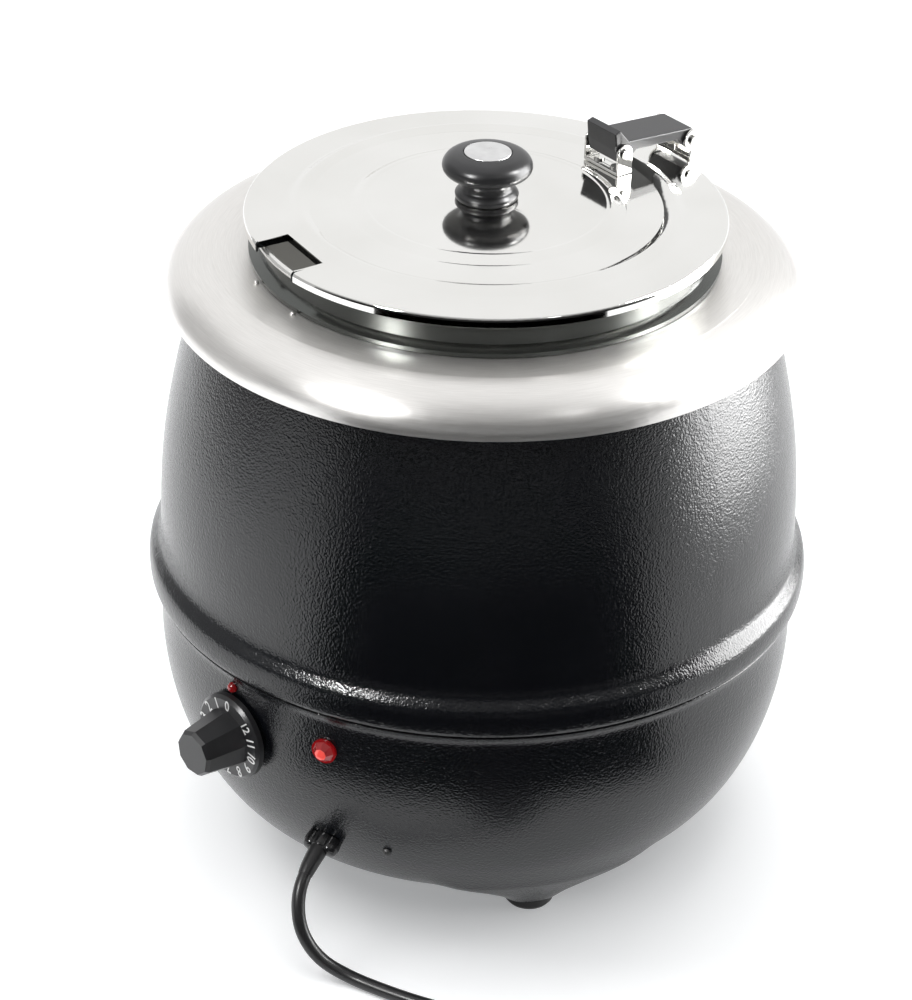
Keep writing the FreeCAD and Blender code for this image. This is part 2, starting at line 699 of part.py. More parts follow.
def cord_clamp():
    """Saddle inside the casing that grips the lead's conductors."""
    floor = BOTTOM_Z + SHEET
    foot = block(GLAND_AZ, (98, 112), (-9, 9), (floor + 0.2, floor + 8))
    groove = rod(at(GLAND_AZ, 90, 0, floor + 8), heading(GLAND_AZ), CORD_R, 30)
    return foot.cut(groove)


def earth_screw():
    """Domed earth screw in the lower wall beside the gland."""
    direction = wall_normal(SCREW_DOT_AZ, SCREW_DOT_Z)
    seat = wall_point(SCREW_DOT_AZ, SCREW_DOT_Z, 0.15)
    head = Part.makeSphere(SCREW_DOT_R, seat).common(rod(seat, direction, 4, 4))
    return join([head, rod(seat - direction * 6, direction, SCREW_R, 6.5)])


def terminal_block():
    """Ceramic block with three ways, on the casing's inside."""
    base = block(TERMINAL_AZ, (104, 122), (-17, 17), (50, 63))
    cuts = [block(TERMINAL_AZ, (103, 123), (w - 3, w + 3), (58, 64)) for w in (-11, 0, 11)]
    return base.cut(Part.makeCompound(cuts))


def rounded_path(points):
    """Straight runs joined by tangent arcs, as wide as the runs allow; also returns the radii."""
    edges = []
    radii = []
    start = points[0]
    for before, corner, after in zip(points, points[1:], points[2:]):
        into = (corner - before).normalize()
        out = (after - corner).normalize()
        half_turn = into.getAngle(out) / 2
        reach = 0.45 * min((corner - before).Length, (after - corner).Length)
        radius = reach / math.tan(half_turn)
        inward = (out - into).normalize()
        middle = corner + inward * (radius / math.cos(half_turn) - radius)
        arc_start = corner - into * reach
        arc_end = corner + out * reach
        edges.append(Part.LineSegment(start, arc_start).toShape())
        edges.append(Part.Arc(arc_start, middle, arc_end).toShape())
        radii.append(radius)
        start = arc_end
    edges.append(Part.LineSegment(start, points[-1]).toShape())
    return Part.Wire(edges), radii


def tube(points, radius):
    """Round tube along a rounded path."""
    path, radii = rounded_path(points)
    direction = (points[1] - points[0]).normalize()
    circle = Part.Wire(Part.makeCircle(radius, points[0], direction))
    shape = path.makePipeShell([circle], True, False)
    expected = math.pi * radius ** 2 * path.Length
    print("  tube length", round(path.Length, 1), "volume ratio", round(shape.Volume / expected, 4))
    print("  radii", [round(value, 1) for value in radii])
    return shape


def coil_outer_r():
    return COIL_MID_R + COIL_COLUMNS * CORD_R


def power_cord():
    """Lead from the gland's mouth down to the surface and along it to the coil."""
    mouth = gland_point(GLAND_HEAD)
    first = gland_point(GLAND_HEAD + CORD_EXIT_RUN)
    entry = V(COIL_CENTRE[0], COIL_CENTRE[1] + coil_outer_r() - CORD_R, CORD_R)
    points = [mouth, first] + [V(*point) for point in CORD_ROUTE] + [entry]
    return tube(points, CORD_R).cut(cord_coil())


def cord_coil():
    """Outer shape of the put-away length: just over five turns, three across and two high."""
    inner = COIL_MID_R - COIL_COLUMNS * CORD_R
    height = 2 * CORD_R * COIL_LAYERS
    ring = turned_polygon([(inner, 0), (coil_outer_r(), 0), (coil_outer_r(), height), (inner, height)])
    ring.translate(V(COIL_CENTRE[0], COIL_CENTRE[1], 0))
    return ring


def tail_x():
    """Where the lead leaves the coil: its outer turn's east side."""
    return COIL_CENTRE[0] + coil_outer_r() - CORD_R


def cord_tail():
    """Last stretch of the lead, from the coil's upper turn to the plug."""
    upper_turn_z = 3 * CORD_R
    points = [
        V(tail_x(), COIL_CENTRE[1] - 16, upper_turn_z),
        V(tail_x() + 3.5, COIL_CENTRE[1] - 34, upper_turn_z + 1.0),
        V(tail_x() + 9.0, COIL_CENTRE[1] - 50, upper_turn_z + 4.0),
        V(tail_x() + PLUG_OFFSET_X, COIL_CENTRE[1] - 64, PLUG_R),
    ]
    return tube(points, CORD_R).cut(cord_coil()).cut(plug_body())


def plug_start():
    return V(tail_x() + PLUG_OFFSET_X, COIL_CENTRE[1] - 60, PLUG_R)


def plug_body():
    """Round moulded plug lying on its side."""
    direction = V(0, -1, 0)
    sleeve = Part.makeCone(6.0, 9.0, 14, plug_start(), direction)
    shoulder = Part.makeCone(9.0, PLUG_R, 8, plug_start() + direction * 14, direction)
    body = rod(plug_start() + direction * 22, direction, PLUG_R, PLUG_LENGTH - 22)
    return join([sleeve, shoulder, body])


def plug_pins():
    pins = []
    for side in (-1, 1):
        start = plug_start() + V(side * PIN_SPREAD, -PLUG_LENGTH, 0)
        pins.append(rod(start, V(0, -1, 0), 2.4, PIN_LENGTH))
    return group(pins)


# ---------------------------------------------------------------- pot
def inner_pot():
    """Stainless soup pot: straight wall, rounded corner, support bead and rolled rim."""
    outer_r = POT_R + POT_SHEET
    depth = POT_RIM_Z - POT_FLOOR_Z
    outside = Part.makeCylinder(outer_r, depth + POT_SHEET, V(0, 0, POT_FLOOR_Z - POT_SHEET))
    outside = outside.makeFillet(POT_CORNER_R + POT_SHEET, [outside.Edges[2]])
    bead_low = COLLAR_TOP_Z + 0.35
    bead = turned_polygon([
        (outer_r - 0.5, bead_low), (OPENING_R + 1.2, bead_low), (OPENING_R + 1.4, POT_BEAD_Z),
        (outer_r - 0.5, POT_BEAD_Z + 3.0),
    ])
    rim = Part.makeTorus(POT_RIM_R, POT_RIM_BEAD_R, V(0, 0, POT_RIM_Z))
    inside = Part.makeCylinder(POT_R, depth + 5, V(0, 0, POT_FLOOR_Z))
    inside = inside.makeFillet(POT_CORNER_R, [inside.Edges[2]])
    wall = outside.fuse(bead).cut(inside)
    return wall.fuse(rim)


def hinge_clip():
    """Rear bracket: hooks under the pot's rim and carries the rear pin between two eyes."""
    inner_w = BRACKET_WIDTH / 2 - BRACKET_SHEET
    outer_w = BRACKET_WIDTH / 2
    shelf_top = POT_RIM_Z - POT_RIM_BEAD_R - 0.3
    back_s = 136.0
    web_top = 351.0
    full_width = (-outer_w, outer_w)
    shelf = block(HINGE_AZ, (CLIP_WALL_S, back_s), full_width, (shelf_top - BRACKET_SHEET, shelf_top))
    tab = block(HINGE_AZ, (CLIP_WALL_S, CLIP_WALL_S + BRACKET_SHEET), full_width, (334.4, shelf_top))
    web = block(HINGE_AZ, (back_s - BRACKET_SHEET, back_s), full_width, (shelf_top - 1, web_top))
    outline = [
        (122.6, shelf_top - 1), (back_s, shelf_top - 1), (back_s, web_top), (131.5, REAR_PIN_Z + 1),
        (REAR_PIN_S, REAR_PIN_Z + 1), (122.6, web_top + 1),
    ]
    pieces = [shelf, tab, web]
    for low, high in ((-outer_w, -inner_w), (inner_w, outer_w)):
        pieces.append(side_plate(HINGE_AZ, outline, low, high))
        eye_start = at(HINGE_AZ, REAR_PIN_S, low, REAR_PIN_Z)
        pieces.append(rod(eye_start, sideways(HINGE_AZ), CLIP_EYE_R, high - low))
    bore_start = at(HINGE_AZ, REAR_PIN_S, -20, REAR_PIN_Z)
    holes = [rod(bore_start, sideways(HINGE_AZ), PIN_R + PIN_CLEARANCE, 40)]
    for w in CLIP_RIVET_W:
        rivet_start = at(HINGE_AZ, CLIP_WALL_S - 2, w, CLIP_RIVET_Z)
        holes.append(rod(rivet_start, heading(HINGE_AZ), RIVET_R + HOLE_GAP, 6))
    return join(pieces).cut(Part.makeCompound(holes))


def clip_rivets():
    """Two rivets that hold the rear bracket to the pot's neck."""
    rivets = []
    head_s = CLIP_WALL_S + BRACKET_SHEET
    for w in CLIP_RIVET_W:
        shank_start = at(HINGE_AZ, POT_R + POT_SHEET + 0.3, w, CLIP_RIVET_Z)
        shank = rod(shank_start, heading(HINGE_AZ), RIVET_R, 2.4)
        head = rod(at(HINGE_AZ, head_s, w, CLIP_RIVET_Z), heading(HINGE_AZ), 2.6, 0.9)
        rivets.append(join([shank, head]))
    return group(rivets)


# ---------------------------------------------------------------- arm
def hinge_arm():
    """Black moulded arm: a slab between the brackets with a bearing boss at each pin and a raised nose."""
    slab = [
        (FRONT_PIN_S - 3.5, FRONT_PIN_Z - 4.4), (FRONT_PIN_S + 5, FRONT_PIN_Z - 4.4),
        (FRONT_PIN_S + 9, FRONT_PIN_Z - 0.4), (REAR_PIN_S - 9, REAR_PIN_Z + 1.6),
        (REAR_PIN_S - 4, REAR_PIN_Z - 3.6), (REAR_PIN_S + 3, REAR_PIN_Z - 3.6),
        (REAR_PIN_S + 4.4, REAR_PIN_Z + 2), (REAR_PIN_S, REAR_PIN_Z + 6.2),
        (FRONT_PIN_S + 4, FRONT_PIN_Z + 5.4), (FRONT_PIN_S - 2, FRONT_PIN_Z + 12.4),
        (FRONT_PIN_S - 5.6, FRONT_PIN_Z + 11.4), (FRONT_PIN_S - 4.6, FRONT_PIN_Z + 2),
    ]
    body = side_plate(HINGE_AZ, slab, -ARM_HALF_WIDTH, ARM_HALF_WIDTH)
    bores = []
    for s, z in ((FRONT_PIN_S, FRONT_PIN_Z), (REAR_PIN_S, REAR_PIN_Z)):
        bores.append(rod(at(HINGE_AZ, s, -20, z), sideways(HINGE_AZ), PIN_R, 40))
    return body.cut(Part.makeCompound(bores))


def hinge_pin(s, z):
    """Pin with a low head at both ends, outside the bracket's ears."""
    reach = BRACKET_WIDTH / 2 + 0.3
    shank = rod(at(HINGE_AZ, s, -reach, z), sideways(HINGE_AZ), PIN_R, 2 * reach)
    heads = []
    for w in (-reach - 1.2, reach):
        heads.append(rod(at(HINGE_AZ, s, w, z), sideways(HINGE_AZ), 2.9, 1.2))
    return join([shank] + heads)


# ---------------------------------------------------------------- lid
def notch_tool():
    """Block that cuts the ladle notch out of the lid's edge."""
    half = NOTCH_WIDTH / 2
    return block(NOTCH_AZ, (NOTCH_INNER_R, LID_R + 8), (-half, half), (LID_EDGE_Z - 8, LID_FLAT_Z + 8))


def lid_panel():
    """Pressed lid: raised ring, inner step, turned-down edge and ladle notch with turned-down sides."""
    top = [
        (LID_R, LID_EDGE_Z), (LID_R, LID_EDGE_Z + 3.0), (LID_R - 0.7, LID_EDGE_Z + 4.4),
        (LID_R - 2.6, LID_EDGE_Z + 5.0), (112, LID_FLAT_Z - 0.5), (100.5, LID_FLAT_Z),
        (97.4, LID_FLAT_Z + 1.2), (94.2, LID_FLAT_Z + 2.8), (91.0, LID_FLAT_Z + 2.0),
        (88.6, LID_FLAT_Z + 0.8), (70, LID_FLAT_Z + 1.1), (66.6, LID_FLAT_Z + 1.6),
        (64.8, LID_FLAT_Z + 2.5), (60, LID_FLAT_Z + 3.0), (30, LID_FLAT_Z + 4.4), (0, LID_DOME_Z),
    ]
    under = [(r, z - LID_SHEET) for r, z in top[3:]]
    skirt_in = LID_R - LID_SHEET
    outline = [
        [top[0], top[1]],
        top[1:4],
        [top[3], top[5]],
        top[5:10],
        [top[9], top[10]],
        top[10:14],
        top[13:],
        [top[-1], under[-1]],
        under[-3:][::-1],
        under[-6:-2][::-1],
        [under[-6], under[-7]],
        under[2:7][::-1],
        [under[2], (skirt_in - 1.6, under[0][1])],
        [(skirt_in - 1.6, under[0][1]), (skirt_in, under[0][1] - 1.2)],
        [(skirt_in, under[0][1] - 1.2), (skirt_in, top[0][1])],
        [(skirt_in, top[0][1]), top[0]],
    ]
    panel = turned(outline).cut(notch_tool())
    half = NOTCH_WIDTH / 2
    lip_top = LID_FLAT_Z - 0.6
    lips = []
    for sign in (-1, 1):
        low_w = sign * half
        high_w = sign * (half + LID_SHEET)
        w_range = (min(low_w, high_w), max(low_w, high_w))
        s_range = (NOTCH_INNER_R - LID_SHEET, LID_R - 2.8)
        lips.append(block(NOTCH_AZ, s_range, w_range, (NOTCH_LIP_Z, lip_top)))
    back_range = (NOTCH_INNER_R - LID_SHEET, NOTCH_INNER_R)
    lips.append(block(NOTCH_AZ, back_range, (-half, half), (NOTCH_LIP_Z, lip_top)))
    hole_low = LID_FLAT_Z - 6
    holes = [rod(V(0, 0, hole_low), UP, KNOB_SCREW_R + HOLE_GAP, 30)]
    for w in BRACKET_RIVET_W:
        holes.append(rod(at(HINGE_AZ, FRONT_PIN_S, w, hole_low), UP, RIVET_R + HOLE_GAP, 12))
    return join([panel] + lips).cut(Part.makeCompound(holes))


def front_bracket():
    """U bracket riveted to the lid, with an ear at each side of the arm."""
    inner_w = BRACKET_WIDTH / 2 - BRACKET_SHEET
    outer_w = BRACKET_WIDTH / 2
    s_range = (FRONT_PIN_S - BRACKET_EAR_R, FRONT_PIN_S + BRACKET_EAR_R)
    base = block(HINGE_AZ, s_range, (-outer_w, outer_w), (BRACKET_BASE_Z, BRACKET_BASE_Z + BRACKET_SHEET))
    pieces = [base]
    for low, high in ((-outer_w, -inner_w), (inner_w, outer_w)):
        pieces.append(block(HINGE_AZ, s_range, (low, high), (BRACKET_BASE_Z, FRONT_PIN_Z)))
        ear_start = at(HINGE_AZ, FRONT_PIN_S, low, FRONT_PIN_Z)
        pieces.append(rod(ear_start, sideways(HINGE_AZ), BRACKET_EAR_R, high - low))
    bore_start = at(HINGE_AZ, FRONT_PIN_S, -20, FRONT_PIN_Z)
    holes = [rod(bore_start, sideways(HINGE_AZ), PIN_R + PIN_CLEARANCE, 40)]
    for w in BRACKET_RIVET_W:
        holes.append(rod(at(HINGE_AZ, FRONT_PIN_S, w, BRACKET_BASE_Z - 2), UP, RIVET_R + HOLE_GAP, 6))
    return join(pieces).cut(Part.makeCompound(holes))


def bracket_rivets():
    """Two rivets through the front bracket and the lid."""
    rivets = []
    head_z = BRACKET_BASE_Z + BRACKET_SHEET
    tail_z = LID_FLAT_Z - LID_SHEET
    for w in BRACKET_RIVET_W:
        shank = rod(at(HINGE_AZ, FRONT_PIN_S, w, tail_z), UP, RIVET_R, head_z - tail_z + 0.3)
        head = rod(at(HINGE_AZ, FRONT_PIN_S, w, head_z), UP, 2.7, 1.0)
        rivets.append(join([shank, head]))
    return group(rivets)


def knob():
    """Mushroom knob: collar, waist and rounded cap with a recess for its metal disc."""
    z = KNOB_BASE_Z
    flank = [
        (15.6, z), (16.0, z + 2.6), (13.4, z + 5.0), (12.6, z + 8.0), (14.8, z + 11.4), (20.6, z + 13.4),
    ]
    cap = [(20.6, z + 13.4), (22.7, z + 16.2), (21.8, z + 20.0), (17.6, z + 23.2), (12.0, z + 24.2)]
    bore = KNOB_SCREW_R + HOLE_GAP
    recess = [(cap[-1][0], KNOB_RECESS_Z), (bore, KNOB_RECESS_Z)]
    outline = [[(bore, z), flank[0]], flank, cap, [cap[-1], recess[0]], recess, [recess[1], (bore, z)]]
    return turned(outline)


def knob_disc():
    """Brushed metal disc let into the knob."""
    disc = Part.makeCylinder(11.8, 1.2, V(0, 0, KNOB_RECESS_Z))
    return disc.makeFillet(0.4, [disc.Edges[0]])


def knob_screw():
    """Screw from under the lid into the knob."""
    under_lid = LID_DOME_Z - LID_SHEET
    head = Part.makeCylinder(4.4, 2.2, V(0, 0, under_lid - 2.3))
    shank = Part.makeCylinder(KNOB_SCREW_R, 18, V(0, 0, under_lid - 1.0))
    return join([head, shank])


# ---------------------------------------------------------------- output
def main():
    os.makedirs("parts", exist_ok=True)
    builders = [
        upper_shell, lower_shell, collar, collar_nubs, water_well, heating_element, element_clamp,
        clamp_studs, clamp_nuts, tie_rods, tie_nuts, base_plate, base_screws, rubber_feet,
        foot_screws, foot_nuts, thermostat, sensor_bulb, lamp_lens, lamp_body, lamp_nut,
        dial_marker, terminal_block, cord_gland, cord_clamp, earth_screw, power_cord, cord_coil,
        cord_tail, plug_body, plug_pins, inner_pot, hinge_clip, clip_rivets, hinge_arm, lid_panel,
        front_bracket, bracket_rivets, knob, knob_disc, knob_screw, dial_skirt, dial_grip,
        dial_spindle,
    ]
    for build in builders:
        export(build.__name__, build())
    export("front_pin", hinge_pin(FRONT_PIN_S, FRONT_PIN_Z))
    export("rear_pin", hinge_pin(REAR_PIN_S, REAR_PIN_Z))


main()
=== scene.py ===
import bpy
import json
import math
import numpy as np
from mathutils import Euler, Matrix, Vector


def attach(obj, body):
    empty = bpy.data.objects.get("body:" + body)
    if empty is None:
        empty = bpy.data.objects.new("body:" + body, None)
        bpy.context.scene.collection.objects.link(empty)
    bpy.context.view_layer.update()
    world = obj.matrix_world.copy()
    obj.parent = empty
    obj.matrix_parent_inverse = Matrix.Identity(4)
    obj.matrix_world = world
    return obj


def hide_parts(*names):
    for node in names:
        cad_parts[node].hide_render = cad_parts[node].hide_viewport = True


# Looks of the soup kettle. Lengths are in millimetres and become metres where meshes are made.
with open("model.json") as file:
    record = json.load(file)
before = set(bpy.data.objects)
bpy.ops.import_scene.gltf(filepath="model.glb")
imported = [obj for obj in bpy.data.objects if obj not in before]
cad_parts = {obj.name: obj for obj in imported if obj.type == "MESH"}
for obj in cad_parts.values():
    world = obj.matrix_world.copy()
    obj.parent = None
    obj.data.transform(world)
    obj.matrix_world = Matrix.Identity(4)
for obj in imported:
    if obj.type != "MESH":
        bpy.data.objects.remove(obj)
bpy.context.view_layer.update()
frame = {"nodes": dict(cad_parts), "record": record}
MM = 0.001

# ---------------------------------------------------------------- driving dimensions
ROUND_STEPS = 240           # faces round a large turned piece
SHEET = 1.2                 # thickness of the lower casing

FOOT_CIRCLE_R = 107.0
FOOT_AZIMUTHS = (60.0, 180.0, 300.0)
FOOT_TOP_Z = 5.5
BOTTOM_Z = 18.5
BOTTOM_FLAT_R = 110.0
BOTTOM_HOLE_R = 68.0
WALL_R = 166.8
WALL_CURVE_TOP_Z = 120.0
WALL_EXPONENT = 1.9
LEG_CENTRE_Z = 150.0        # the legs are blended along lines from this point on the axis
LEG_TOP_Z = 90.0            # the legs end inside the bowl
LEG_BLEND = 12.0            # rounding between a leg and the bowl
LEG_EDGE_BLEND = 5.0        # rounding between a leg's flare and its outer limit
# Height, and a leg's radius round its foot there.
LEG_FLARE = (
    (5.5, 14.5), (8.5, 18.0), (15.5, 25.5), (23.5, 35.5),
    (30.5, 48.5), (36.5, 56.0), (43.0, 60.0), (90.0, 66.0),
)
# Height, and how far out from the kettle's axis a leg may go there.
LEG_LIMIT = ((5.5, 121.5), (32.5, 135.5), (50.0, 138.5), (90.0, 139.0))
LEG_SEARCH_START = 60.0
LEG_SEARCH_END = 236.0
LEG_SEARCH_STEP = 0.5
CASING_STEPS_ROUND = 288
CASING_STEPS_DOWN = 96
CASING_SHARP_ANGLE = 40.0

NOTCH_AZ = -16.0
NOTCH_WIDTH = 36.0
NOTCH_INNER_R = 102.5
NOTCH_SHADE_TOP_Z = 350.6        # the notch's turned-down sides, which carry painted shade, are below this height
NOTCH_SHADE_DEPTH_MARGIN = 1.2    # how far past the notch the painted shade on its sides reaches
NOTCH_SHADE_SIDE_MARGIN = 1.4
POT_SHADE_FROM_R = 113.8       # the pot's outside has painted shade, a dark colour, beyond this radius and below this height
POT_RIM_Z = 342.5

DIAL_AZ = -3.0
DIAL_Z = 109.0
DIAL_FACE_S = 172.8         # front face of the dial's skirt
DIAL_NUMBER_R = 18.4
DIAL_NUMBER_SIZE = 8.2
DIAL_STEP = 26.0            # degrees between numbers
DIAL_HIGHEST = 12
DIAL_NUMBER_LIFT = 0.02     # gap between the skirt's face and the print
DIAL_NUMBER_THICKNESS = 0.04
DIAL_NUMBER_SPACING = 0.9
DIAL_NUMBER_BOLDNESS = 0.10
DIAL_NUMBER_NARROWING = 0.82

LAMP_AZ = 16.8
LAMP_Z = 123.2
LAMP_FACE_S = 171.82

GLAND_POINT = (38.10, -149.46, 58.97)
GLAND_MOUTH = (40.11, -157.36, 55.35)
GLAND_DIRECTION = (0.22576, -0.88570, -0.40568)
GLAND_AZ = 14.3
GLAND_LOBE_OFFSET = 5.1     # from the lead's middle to the middle of a lobe
GLAND_LOBE_LIFT = 0.2
SLEEVE_START = -8.0         # the strain relief's ends along the lead, from the gland's mouth
SLEEVE_END = 14.0
SLEEVE_RADII = ((0, 4.9), (0.4, 4.8), (0.8, 4.25), (1.0, 3.75))

CORD_R = 3.5
COIL_CENTRE = (215.0, -169.0)
COIL_TURN_RADII = (45.5, 38.5, 31.5)
COIL_END = 5.25             # turns, starting at the north side and going clockwise
COIL_POINTS_PER_TURN = 24
COIL_IN_AT = (0.75, 1.75)   # turns after which the lead steps inwards
COIL_UP_AT = 2.55           # and up
COIL_OUT_AT = (3.35, 4.35)  # and outwards
COIL_STEP = 0.2             # share of a turn that each of those steps takes
TIE_TURN = 200.0            # degrees round the coil to its tie
TIE_CLEARANCE = 0.9
TIE_CORNER_R = 3.4
TIE_HALF_WIDTH = 2.0
TIE_THICKNESS = 0.5
PLUG_START = (273.5, -229.0, 18.5)
PLUG_R = 18.3
PLUG_RIBS = 5
PLUG_RIB_STEP = 2.6
PLUG_FLAT = 15.6            # half width over the plug's grip flats
PLUG_FLAT_CROWN = 0.2       # share of the round that is left on a flat
PLUG_FLAT_START = 23.0
PLUG_FLAT_END = 41.5

KNOB_BASE_Z = 356.5

WELD_GAP = 0.02             # points nearer than this become one before edges are rounded
EDGE_SHARPNESS = 40.0       # degrees; flatter edges stay as they are
# CAD nodes whose sharp edges are rounded, and the width of the rounding.
EDGE_ROUNDINGS = (("front_bracket", 0.35), ("hinge_clip", 0.35), ("hinge_arm", 0.8), ("dial_grip", 0.6))

# Lamps: name, azimuth, elevation, distance in metres, size in metres, radiance, shows in reflections.
LAMPS = (
    ("key_left", -55, 48, 2.0, 1.1, 5.0, False),
    ("top_fill", 200, 72, 2.4, 1.6, 3.0, False),
    ("front_fill", 60, 60, 2.2, 1.4, 1.8, False),
    ("glint_left", -3, 38, 2.0, 0.26, 130, True),
    ("glint_right", 131, 42, 2.0, 0.42, 60, True),
    ("glint_middle", 78, 46, 2.0, 0.16, 9, True),
)
LAMP_AIM_Z = 0.18           # metres
POT_LIGHT_Z = 0.22          # metres
POT_LIGHT_WATTS = 0.35
POT_LIGHT_RADIUS = 0.03     # metres

# Reflection cards in metres: the dark one's azimuths and radii, then name, azimuth, distance, half width,
# lowest and highest point and brightness of the upright ones.
DARK_SECTOR = (-6.0, 98.0, 0.265, 3.0)
DARK_CARD_Z = 0.0006
DARK_CARD_STEPS = 12
UPRIGHT_CARDS = (
    ("grey_card_left", -60, 1.1, 0.50, 0.0, 1.0, 0.5),
    ("white_card_right", 143, 1.1, 0.42, 0.0, 1.0, 15.0),
)

# The world is brightest at the back, dim in front and half bright overhead.
WORLD_BACK_AZ = 222.5
WORLD_BACK_RISE = 32.0
WORLD_BACK_FADE = (-0.35, 0.62)
WORLD_DIMMEST = 0.02
WORLD_TOP_FADE = (0.25, 0.75)
WORLD_TOP = 0.42

FLOOR_HALF_SIZE = 6.0       # metres
FLOOR_GLOW = 0.30

CAMERA_PLACE = (1.0120, -1.1044, 1.0617)
CAMERA_TURN = 42.946
CAMERA_TILT = 30.469
CAMERA_ROLL = 1.371
CAMERA_LENS = 119.05
CAMERA_SENSOR = 36.0


# ---------------------------------------------------------------- helpers
def heading(azimuth):
    """Horizontal unit vector away from the axis; azimuth 0 is the front and 90 the right side."""
    angle = math.radians(azimuth)
    return Vector((math.sin(angle), -math.cos(angle), 0))


def sideways(azimuth):
    """Horizontal unit vector square to heading(), towards growing azimuth."""
    angle = math.radians(azimuth)
    return Vector((math.cos(angle), math.sin(angle), 0))


def at(azimuth, s, w, z):
    """Point at distance s from the axis, w to the side and height z, in millimetres."""
    return heading(azimuth) * s + sideways(azimuth) * w + Vector((0, 0, z))


def metres(point):
    """Point in millimetres as a tuple in metres."""
    return tuple(value * MM for value in point)


def mesh_piece(name, points, faces, material, sharp_angle=35.0):
    """Object from points in millimetres, smooth shaded apart from edges sharper than the angle."""
    mesh = bpy.data.meshes.new(name)
    mesh.from_pydata([metres(point) for point in points], [], faces)
    mesh.validate()
    mesh.shade_smooth()
    mesh.set_sharp_from_angle(angle=math.radians(sharp_angle))
    mesh.materials.append(material)
    piece = bpy.data.objects.new(name, mesh)
    bpy.context.scene.collection.objects.link(piece)
    return piece


def flowing(points, steps):
    """Points of a curve that passes through all the given points (Catmull-Rom)."""
    line = []
    for index in range(len(points) - 1):
        before = points[max(index - 1, 0)]
        start = points[index]
        end = points[index + 1]
        after = points[min(index + 2, len(points) - 1)]
        for step in range(steps):
            t = step / steps
            line.append(tuple(
                0.5 * (2 * b + (c - a) * t + (2 * a - 5 * b + 4 * c - d) * t ** 2
                       + (3 * b - a - 3 * c + d) * t ** 3)
                for a, b, c, d in zip(before, start, end, after)
            ))
    line.append(tuple(points[-1]))
    return line


def turned(name, outline, material, steps=ROUND_STEPS, closed=True, origin=None, axes=None):
    """Piece turned about an axis from (r, along) points; on the kettle's own axis unless one is given."""
    origin = origin or Vector((0, 0, 0))
    across, up, along = axes or (Vector((1, 0, 0)), Vector((0, 1, 0)), Vector((0, 0, 1)))
    points = []
    for step in range(steps):
        angle = 2 * math.pi * step / steps
        outward = across * math.cos(angle) + up * math.sin(angle)
        for r, height in outline:
            points.append(origin + outward * r + along * height)
    count = len(outline)
    last = count if closed else count - 1
    faces = []
    for step in range(steps):
        here = step * count
        there = ((step + 1) % steps) * count
        for index in range(last):
            after = (index + 1) % count
            faces.append((here + index, there + index, there + after, here + after))
    return mesh_piece(name, points, faces, material)


def capped(name, outline, material, steps, origin, axes):
    """Turned piece whose outline starts and ends on the axis."""
    piece = turned(name, outline, material, steps, False, origin, axes)
    weld = piece.modifiers.new("weld", "WELD")
    weld.merge_threshold = 0.00001
    return piece


def finish_node(name, material):
    """Gives a CAD node its material."""
    mesh = frame["nodes"][name].data
    mesh.materials.clear()
    mesh.materials.append(material)


# ---------------------------------------------------------------- materials
def new_material(name, colour, roughness, metallic=0.0, specular=0.5):
    """Principled material with its plain values set on the shader's own sockets."""
    material = bpy.data.materials.new(name)
    material.use_nodes = True
    shader = material.node_tree.nodes["Principled BSDF"]
    shader.inputs["Base Color"].default_value = (*colour, 1)
    shader.inputs["Roughness"].default_value = roughness
    shader.inputs["Metallic"].default_value = metallic
    shader.inputs["Specular IOR Level"].default_value = specular
    return material


def add_node(material, kind, values=None, **settings):
    """New shader node; values go to its input sockets and settings to the node itself."""
    node = material.node_tree.nodes.new(kind)
    for key, value in settings.items():
        setattr(node, key, value)
    for key, value in (values or {}).items():
        node.inputs[key].default_value = value
    return node


def wire(material, source, output, target, socket):
    """Joins one node's output to another node's input."""
    material.node_tree.links.new(source.outputs[output], target.inputs[socket])


def shader_of(material):
    """The material's Principled shader."""
    return material.node_tree.nodes["Principled BSDF"]


def noise_on(material, scale, detail):
    """Noise in the kettle's own space."""
    place = add_node(material, "ShaderNodeTexCoord")
    noise = add_node(material, "ShaderNodeTexNoise", {"Scale": scale, "Detail": detail})
    wire(material, place, "Object", noise, "Vector")
    return noise


def ramp_between(material, source, output, low, high, target, socket):
    """Sends a 0 to 1 pattern to a socket as a range of numbers."""
    span = add_node(material, "ShaderNodeMapRange", {"To Min": low, "To Max": high})
    wire(material, source, output, span, "Value")
    wire(material, span, "Result", target, socket)


def tint_between(material, source, output, dark, light):
    """Base colour that varies between two close colours."""
    ramp = add_node(material, "ShaderNodeValToRGB")
    ramp.color_ramp.elements[0].position = 0.3
    ramp.color_ramp.elements[0].color = (*dark, 1)
    ramp.color_ramp.elements[1].position = 0.7
    ramp.color_ramp.elements[1].color = (*light, 1)
    wire(material, source, output, ramp, "Fac")
    wire(material, ramp, "Color", shader_of(material), "Base Color")


def bump_from(material, source, output, depth, strength, previous=None):
    """Bump from a 0 to 1 pattern, on top of a previous bump where there is one."""
    bump = add_node(material, "ShaderNodeBump", {"Distance": depth, "Strength": strength})
    wire(material, source, output, bump, "Height")
    if previous:
        wire(material, previous, "Normal", bump, "Normal")
    wire(material, bump, "Normal", shader_of(material), "Normal")
    return bump


def powder_coat():
    """Gloss black coat with the small rounded hammering of a textured powder."""
    coat = new_material("powder_coat", (0.004, 0.005, 0.007), 0.18)
    cells = noise_on(coat, 850.0, 1.0)
    waves = noise_on(coat, 420.0, 1.0)
    first = bump_from(coat, waves, "Fac", 0.00010, 0.7)
    bump_from(coat, cells, "Fac", 0.00024, 1.0, first)
    patches = noise_on(coat, 9.0, 4.0)
    ramp_between(coat, patches, "Fac", 0.18, 0.26, shader_of(coat), "Roughness")
    tint_between(coat, patches, "Fac", (0.0025, 0.003, 0.0045), (0.005, 0.006, 0.008))
    return coat


